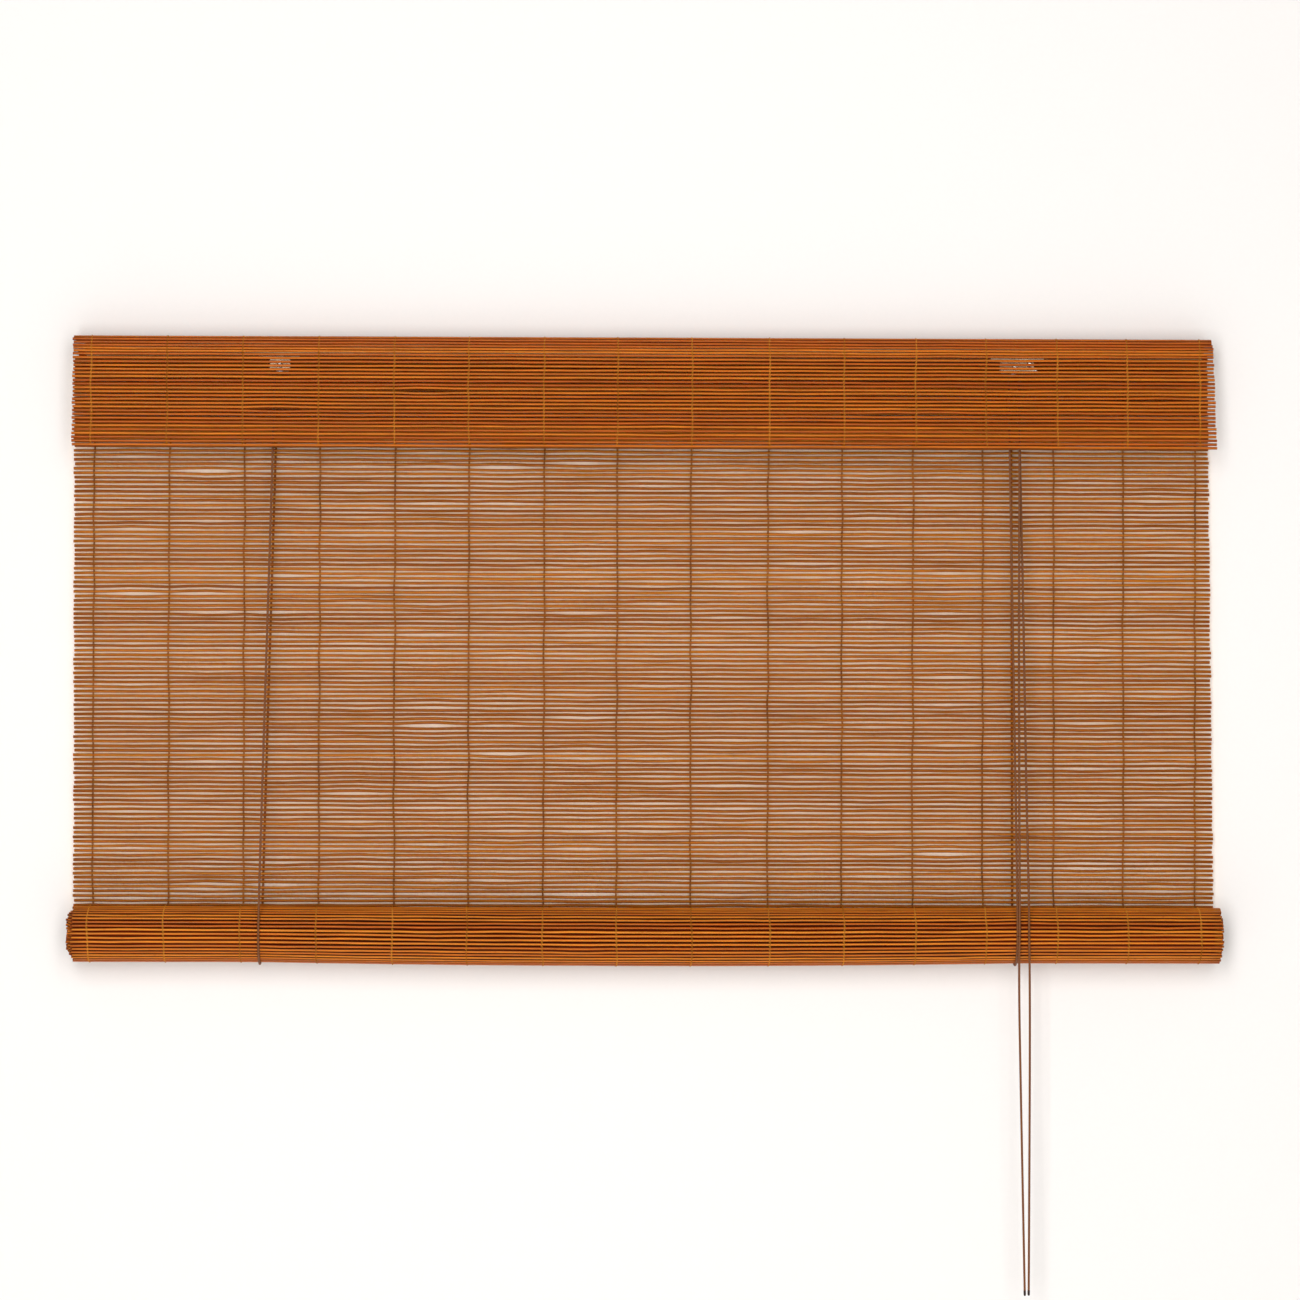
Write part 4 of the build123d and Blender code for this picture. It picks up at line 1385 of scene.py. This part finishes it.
    def _front(self, bight: float, wheel: Vector) -> list[Triple]:
        """Gives the way from a bight up in front of the mat to the side of a wheel."""
        x = wheel.x - self.pitch_radius
        return [
            (bight, self.front_y, self.roll.z + self.clear),
            (bight, self.front_y, self.roll.z + self.roll_radius),
            (x, wheel.y, wheel.z - self.roll_radius),
            (x, wheel.y, wheel.z),
        ]

    def _half_turn(self, at: Vector, radius: float, across: Vector, down: Vector) -> list[Triple]:
        """Gives a half turn round a point as closely set points.

        Args:
            at: The middle.
            radius: The radius of the turn.
            across: The way from the middle to the first point.
            down: The way from the middle to the turn's furthest point.

        Returns:
            The points.
        """
        steps = self.turn_steps
        bulge = radius / math.cos(math.pi / steps / 2)
        points = [at + across * radius]
        for index in range(steps):
            angle = math.pi * (index + 0.5) / steps
            points.append(at + (across * math.cos(angle) + down * math.sin(angle)) * bulge)
        points.append(at - across * radius)
        return [tuple(point) for point in points]

    def _upper(self, wheel: Vector, at_roll: float, sway: Sway) -> list[Triple]:
        """Gives a pull cord's way from the lock down to the front of the roll."""
        x = wheel.x + self.pitch_radius
        start, foot = wheel.z - self.straight, self.roll.z + self.roll_radius
        points = [(x, wheel.y, wheel.z)]
        for share, aside in sway:
            y = wheel.y + share * (at_roll - wheel.y)
            points.append((x + aside * MM, y, start + share * (foot - start)))
        points.append((x + sway[-1][1] * MM, at_roll, self.roll.z + self.clear))
        return points

    def _lower(self, x: float, at_roll: float, end: float, sway: Sway) -> list[Triple]:
        """Gives a pull cord's way from the front of the roll down to its end."""
        return [
            (x + aside * MM, at_roll, self.roll.z + share * (end - self.roll.z))
            for share, aside in sway
        ]

    def build(self) -> None:
        """Lays every run of cord, the free pull cords first."""
        pull_x = self.front_wheel.x + self.pitch_radius
        wheels = {"front": self.front_wheel, "rear": self.rear_wheel}
        at_roll = {"front": self.front_y - self.stack, "rear": self.front_y}
        sways = {
            "front": (self.front_sway, self.front_tail),
            "rear": (self.rear_sway, self.rear_tail),
        }
        for side in ("front", "rear"):
            upper = self._upper(wheels[side], at_roll[side], sways[side][0])
            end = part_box(f"{side}_pull_cord_lower")[0].z
            lower = self._lower(pull_x, at_roll[side], end, sways[side][1])
            self.lay(CordRun(
                f"{side}_pull_cord_at_mat", upper, Motion.SHORTENED,
                (f"{side}_pull_cord_upper",), anchor=wheels[side].z,
                free={
                    "exit": upper[0], "length": self.lengths[side][0], "far_end": "object",
                    "stiffness": "limp", "lay": "hanging",
                },
            ))
            self.lay(CordRun(
                f"{side}_pull_cord_tail", lower, Motion.PULLED,
                (f"{side}_pull_cord_lower",), sealed=self.tip,
                free={
                    "exit": lower[0], "length": self.lengths[side][1], "far_end": "bare",
                    "stiffness": "limp", "lay": "hanging",
                },
            ))
        batten_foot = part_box("head_batten")[0].z
        for side, bight, wheel in (
            ("left", self.left_x, self.left_wheel),
            ("right", self.right_x, self.front_wheel),
        ):
            low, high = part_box(f"{side}_lift_cord_rear")
            edge = high.x if side == "left" else low.x
            fixed = edge - self.diameter / 2 if side == "left" else edge + self.diameter / 2
            self.lay(CordRun(
                f"{side}_cord_behind_mat", self._rear(fixed, bight), Motion.SHORTENED,
                (f"{side}_lift_cord_rear",), anchor=batten_foot,
            ))
            self.lay(CordRun(
                f"{side}_cord_before_mat", self._front(bight, wheel), Motion.SHORTENED,
                (f"{side}_lift_cord_front",), anchor=wheel.z,
            ))
            middle = Vector((bight, self.roll.y, self.roll.z))
            turn = self._half_turn(
                middle, self.roll.y - self.front_y, Vector(TO_ROOM), Vector(DOWN)
            )
            self.lay(CordRun(
                f"{side}_cord_under_roll", turn, Motion.CARRIED, (f"{side}_cord_bight",)
            ))
        right = Vector((1.0, 0.0, 0.0))
        up = Vector((0.0, 0.0, 1.0))
        turn = self._half_turn(self.front_wheel, self.pitch_radius, -right, up)
        self.lay(CordRun("cord_over_front_wheel", turn, Motion.FIXED, ("lock_cord_turn",)))
        first = self._half_turn(self.left_wheel, self.pitch_radius, -right, up)
        last = self._half_turn(self.rear_wheel, self.pitch_radius, -right, up)
        half = len(first) // 2
        height = self.left_wheel.z + self.pitch_radius
        span = self.rear_wheel.x - self.left_wheel.x
        level = [
            (self.left_wheel.x + span * share, self.left_wheel.y, height - self.sag * dip)
            for share, dip in ((0.1, 0.3), (0.3, 0.85), (0.5, 1.0), (0.7, 0.85), (0.9, 0.3))
        ]
        across = first[:half] + level + last[half:]
        self.lay(CordRun("cord_along_batten", across, Motion.FIXED, ("cross_cord",)))


# ---- Headrail hardware ----
@dataclass
class Hardware:
    """The batten, straps, staples, pulley and cord lock, which keep their own shapes."""

    finishes: dict[str, bpy.types.Material]
    nodes: dict[str, tuple[str, ...]] = field(
        default_factory=lambda: {
            "pine": ("head_batten", "bottom_dowel"),
            "wire": ("mat_staples", "cord_staples"),
            "strap": ("left_hanging_strap", "right_hanging_strap"),
            "screw": ("hanger_screws", "left_pulley_screws", "cord_lock_screws"),
            "pressing": ("left_pulley_bracket", "cord_lock_housing"),
            "turning": (
                "left_pulley_wheel", "cord_lock_front_wheel", "cord_lock_rear_wheel",
                "cord_lock_dog",
            ),
            "rivet": (
                "left_pulley_axle", "cord_lock_axle", "cord_lock_washer", "cord_lock_dog_pin",
            ),
        }
    )

    def dress(self) -> None:
        """Gives each piece its finish."""
        for finish, nodes in self.nodes.items():
            for node in nodes:
                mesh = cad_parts[node].data
                mesh.materials.clear()
                mesh.materials.append(self.finishes[finish])
                LOG.info("%s: %s", node, finish)


# ---- Studio ----
@dataclass
class Studio:
    """The camera, the wall and floor, and soft light from the room."""

    lens: float = 131.3
    sensor: float = 36.0
    sight: float = 50.0
    stand: Triple = (-0.0622, -3.7565, -0.2957)
    yaw: float = 1.019
    pitch: float = 0.895
    roll: float = 0.148
    wall: Colour = (0.90, 0.895, 0.885)
    wall_y: float = 0.4 * MM
    wall_half: float = 4.0
    wall_top: float = 2.2
    floor_z: float = -1.7
    floor_depth: float = 6.0
    aim: Triple = (0.0, 0.0, -0.25)
    strip: tuple[float, float] = (0.8, 3.0)
    left_lamp: Triple = (-0.62, -3.2, 0.05)
    left_power: float = 58.0
    right_lamp: Triple = (0.6, -3.2, 0.05)
    right_power: float = 32.0
    lamp_colour: Colour = (1.035, 0.99, 0.965)
    room_colour: Colour = (1.0, 0.995, 0.985)
    room_strength: float = 0.3

    def camera(self) -> None:
        """Sets the camera up in front of the blind."""
        lens = bpy.data.cameras.new("camera")
        lens.lens = self.lens
        lens.sensor_width = self.sensor
        lens.clip_end = self.sight
        camera = put("camera", lens)
        turn = Matrix.Rotation(math.radians(-self.yaw), 4, "Z")
        tip = Matrix.Rotation(math.radians(90 + self.pitch), 4, "X")
        lean = Matrix.Rotation(math.radians(self.roll), 4, "Z")
        camera.matrix_world = Matrix.Translation(self.stand) @ turn @ tip @ lean
        bpy.context.scene.camera = camera

    def backdrop(self) -> None:
        """Makes the wall and the floor."""
        finish = PaintedWall("matt_wall_paint", self.wall).make()
        wide, at, low, high = self.wall_half, self.wall_y, self.floor_z, self.wall_top
        deep = self.floor_depth
        left, right = (-wide, at, low), (wide, at, low)
        corners = {
            "wall": [left, right, (wide, at, high), (-wide, at, high)],
            "floor": [(-wide, -deep, low), (wide, -deep, low), right, left],
        }
        for name, places in corners.items():
            mesh = bpy.data.meshes.new(name)
            mesh.from_pydata(places, [], [(0, 1, 2, 3)])
            mesh.materials.append(finish)
            piece = put(name, mesh)

    def _softbox(self, name: str, at: Triple, power: float) -> None:
        """Stands one tall soft light up, turned to the blind.

        Args:
            name: The light's name.
            at: Its place.
            power: Its power, in watts.
        """
        light = bpy.data.lights.new(name, "AREA")
        light.shape = "RECTANGLE"
        light.size, light.size_y = self.strip
        light.energy = power
        light.color = self.lamp_colour
        lamp = put(name, light)
        turn = (Vector(self.aim) - Vector(at)).to_track_quat("-Z", "Y")
        lamp.matrix_world = Matrix.Translation(at) @ turn.to_matrix().to_4x4()

    def lights(self) -> None:
        """Sets the lights: a tall strip on the left, a weaker one on the right, pale room light."""
        self._softbox("left_strip", self.left_lamp, self.left_power)
        self._softbox("right_strip", self.right_lamp, self.right_power)
        world = bpy.data.worlds.new("room")
        world.use_nodes = True
        back = world.node_tree.nodes["Background"]
        back.inputs["Color"].default_value = (*self.room_colour, 1.0)
        back.inputs["Strength"].default_value = self.room_strength
        bpy.context.scene.world = world
        bpy.context.scene.view_settings.view_transform = "Standard"


def make_finishes() -> dict[str, bpy.types.Material]:
    """Makes every finish of the blind once."""
    finishes = {
        # The valance, drop and roll are copies of one bamboo whose colours differ as painted light and
        # shade: the roll's are lightest, as painted light where it faces the lamps most.
        "valance": StainedBamboo(
            "satin_bamboo_valance",
            dark=paint(168, 78, 6), middle=paint(186, 95, 11), light=paint(202, 114, 20),
            back=paint(150, 62, 6), painted_side_shade=paint(84, 18, 0), glow=0.4,
        ).make(),
        "drop": StainedBamboo(
            "satin_bamboo_drop",
            dark=paint(138, 75, 10), middle=paint(158, 91, 16), light=paint(178, 109, 24),
            # Painted light: bright orange backs on the drop's sticks warm the wall seen through the gaps.
            back=paint(255, 192, 64), painted_side_shade=paint(110, 40, 3), glow=0.85, gloss=0.16,
        ).make(),
        "roll": StainedBamboo(
            "satin_bamboo_roll",
            dark=paint(180, 88, 10), middle=paint(200, 108, 18), light=paint(218, 130, 30),
            back=paint(110, 40, 3), painted_side_shade=paint(56, 7, 0), glow=0.3,
        ).make(),
        # Painted shade: the inner turns take the roll's colours, darkened away from their ends.
        "inner_turns": StainedBamboo(
            "shaded_bamboo_inner_turns",
            dark=paint(180, 88, 10), middle=paint(200, 108, 18), light=paint(218, 130, 30),
            back=paint(90, 20, 1), painted_side_shade=paint(60, 8, 0), glow=0.2,
            shade=paint(146, 42, 3), shaded_half=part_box("drop_sticks")[1].x - 2 * MM,
        ).make(),
        "thread": WarpThread("tan_cotton_thread", paint(130, 70, 14), paint(212, 142, 50)).make(),
        # Painted shade: the drop's warps are the same thread as the others, painted darker where they lie in
        # shade against the light gaps.
        "shaded_thread": WarpThread(
            "painted_shade_cotton_thread", paint(96, 48, 10), paint(162, 98, 34)
        ).make(),
        "cord": BraidedCord(
            "brown_braided_cord", paint(86, 46, 20), paint(134, 82, 44), paint(44, 28, 22)
        ).make(),
        "pine": PlanedPine("planed_pine", paint(214, 178, 128), paint(176, 128, 76)).make(),
    }
    steels = {
        "wire": ("bright_wire", (0.72, 0.72, 0.74), 0.26, (900, 900, 900)),
        "strap": ("zinc_plated_strap", (0.66, 0.68, 0.71), 0.34, (60, 900, 900)),
        "screw": ("zinc_plated_screw", (0.70, 0.69, 0.64), 0.3, (700, 700, 700)),
        # Painted shade: the pressings' plating is darkened, as it sits in shade behind the valance.
        "pressing": ("nickel_pressing_painted_shade", (0.45, 0.33, 0.22), 0.28, (80, 900, 900)),
        "turning": ("turned_steel", (0.68, 0.66, 0.63), 0.3, (900, 60, 900)),
        "rivet": ("bright_rivet", (0.82, 0.80, 0.76), 0.2, (500, 500, 500)),
    }
    finishes.update({key: PlatedSteel(*steel).make() for key, steel in steels.items()})
    return finishes


def main() -> None:
    """Builds the camera, the cords, the mat, the hardware's finishes and the studio in order."""
    logging.basicConfig(level=logging.INFO, format="%(name)s %(message)s")
    studio = Studio()
    studio.camera()
    finishes = make_finishes()
    Cords(finishes["cord"]).build()
    weave = Weave()
    Valance(weave).build(finishes["valance"], finishes["thread"])
    Drop(weave).build(finishes["drop"], finishes["shaded_thread"])
    Roll(weave).build(finishes["roll"], finishes["inner_turns"], finishes["thread"])
    Hardware(finishes).dress()
    studio.backdrop()
    studio.lights()


if __name__ == "__main__":
    main()
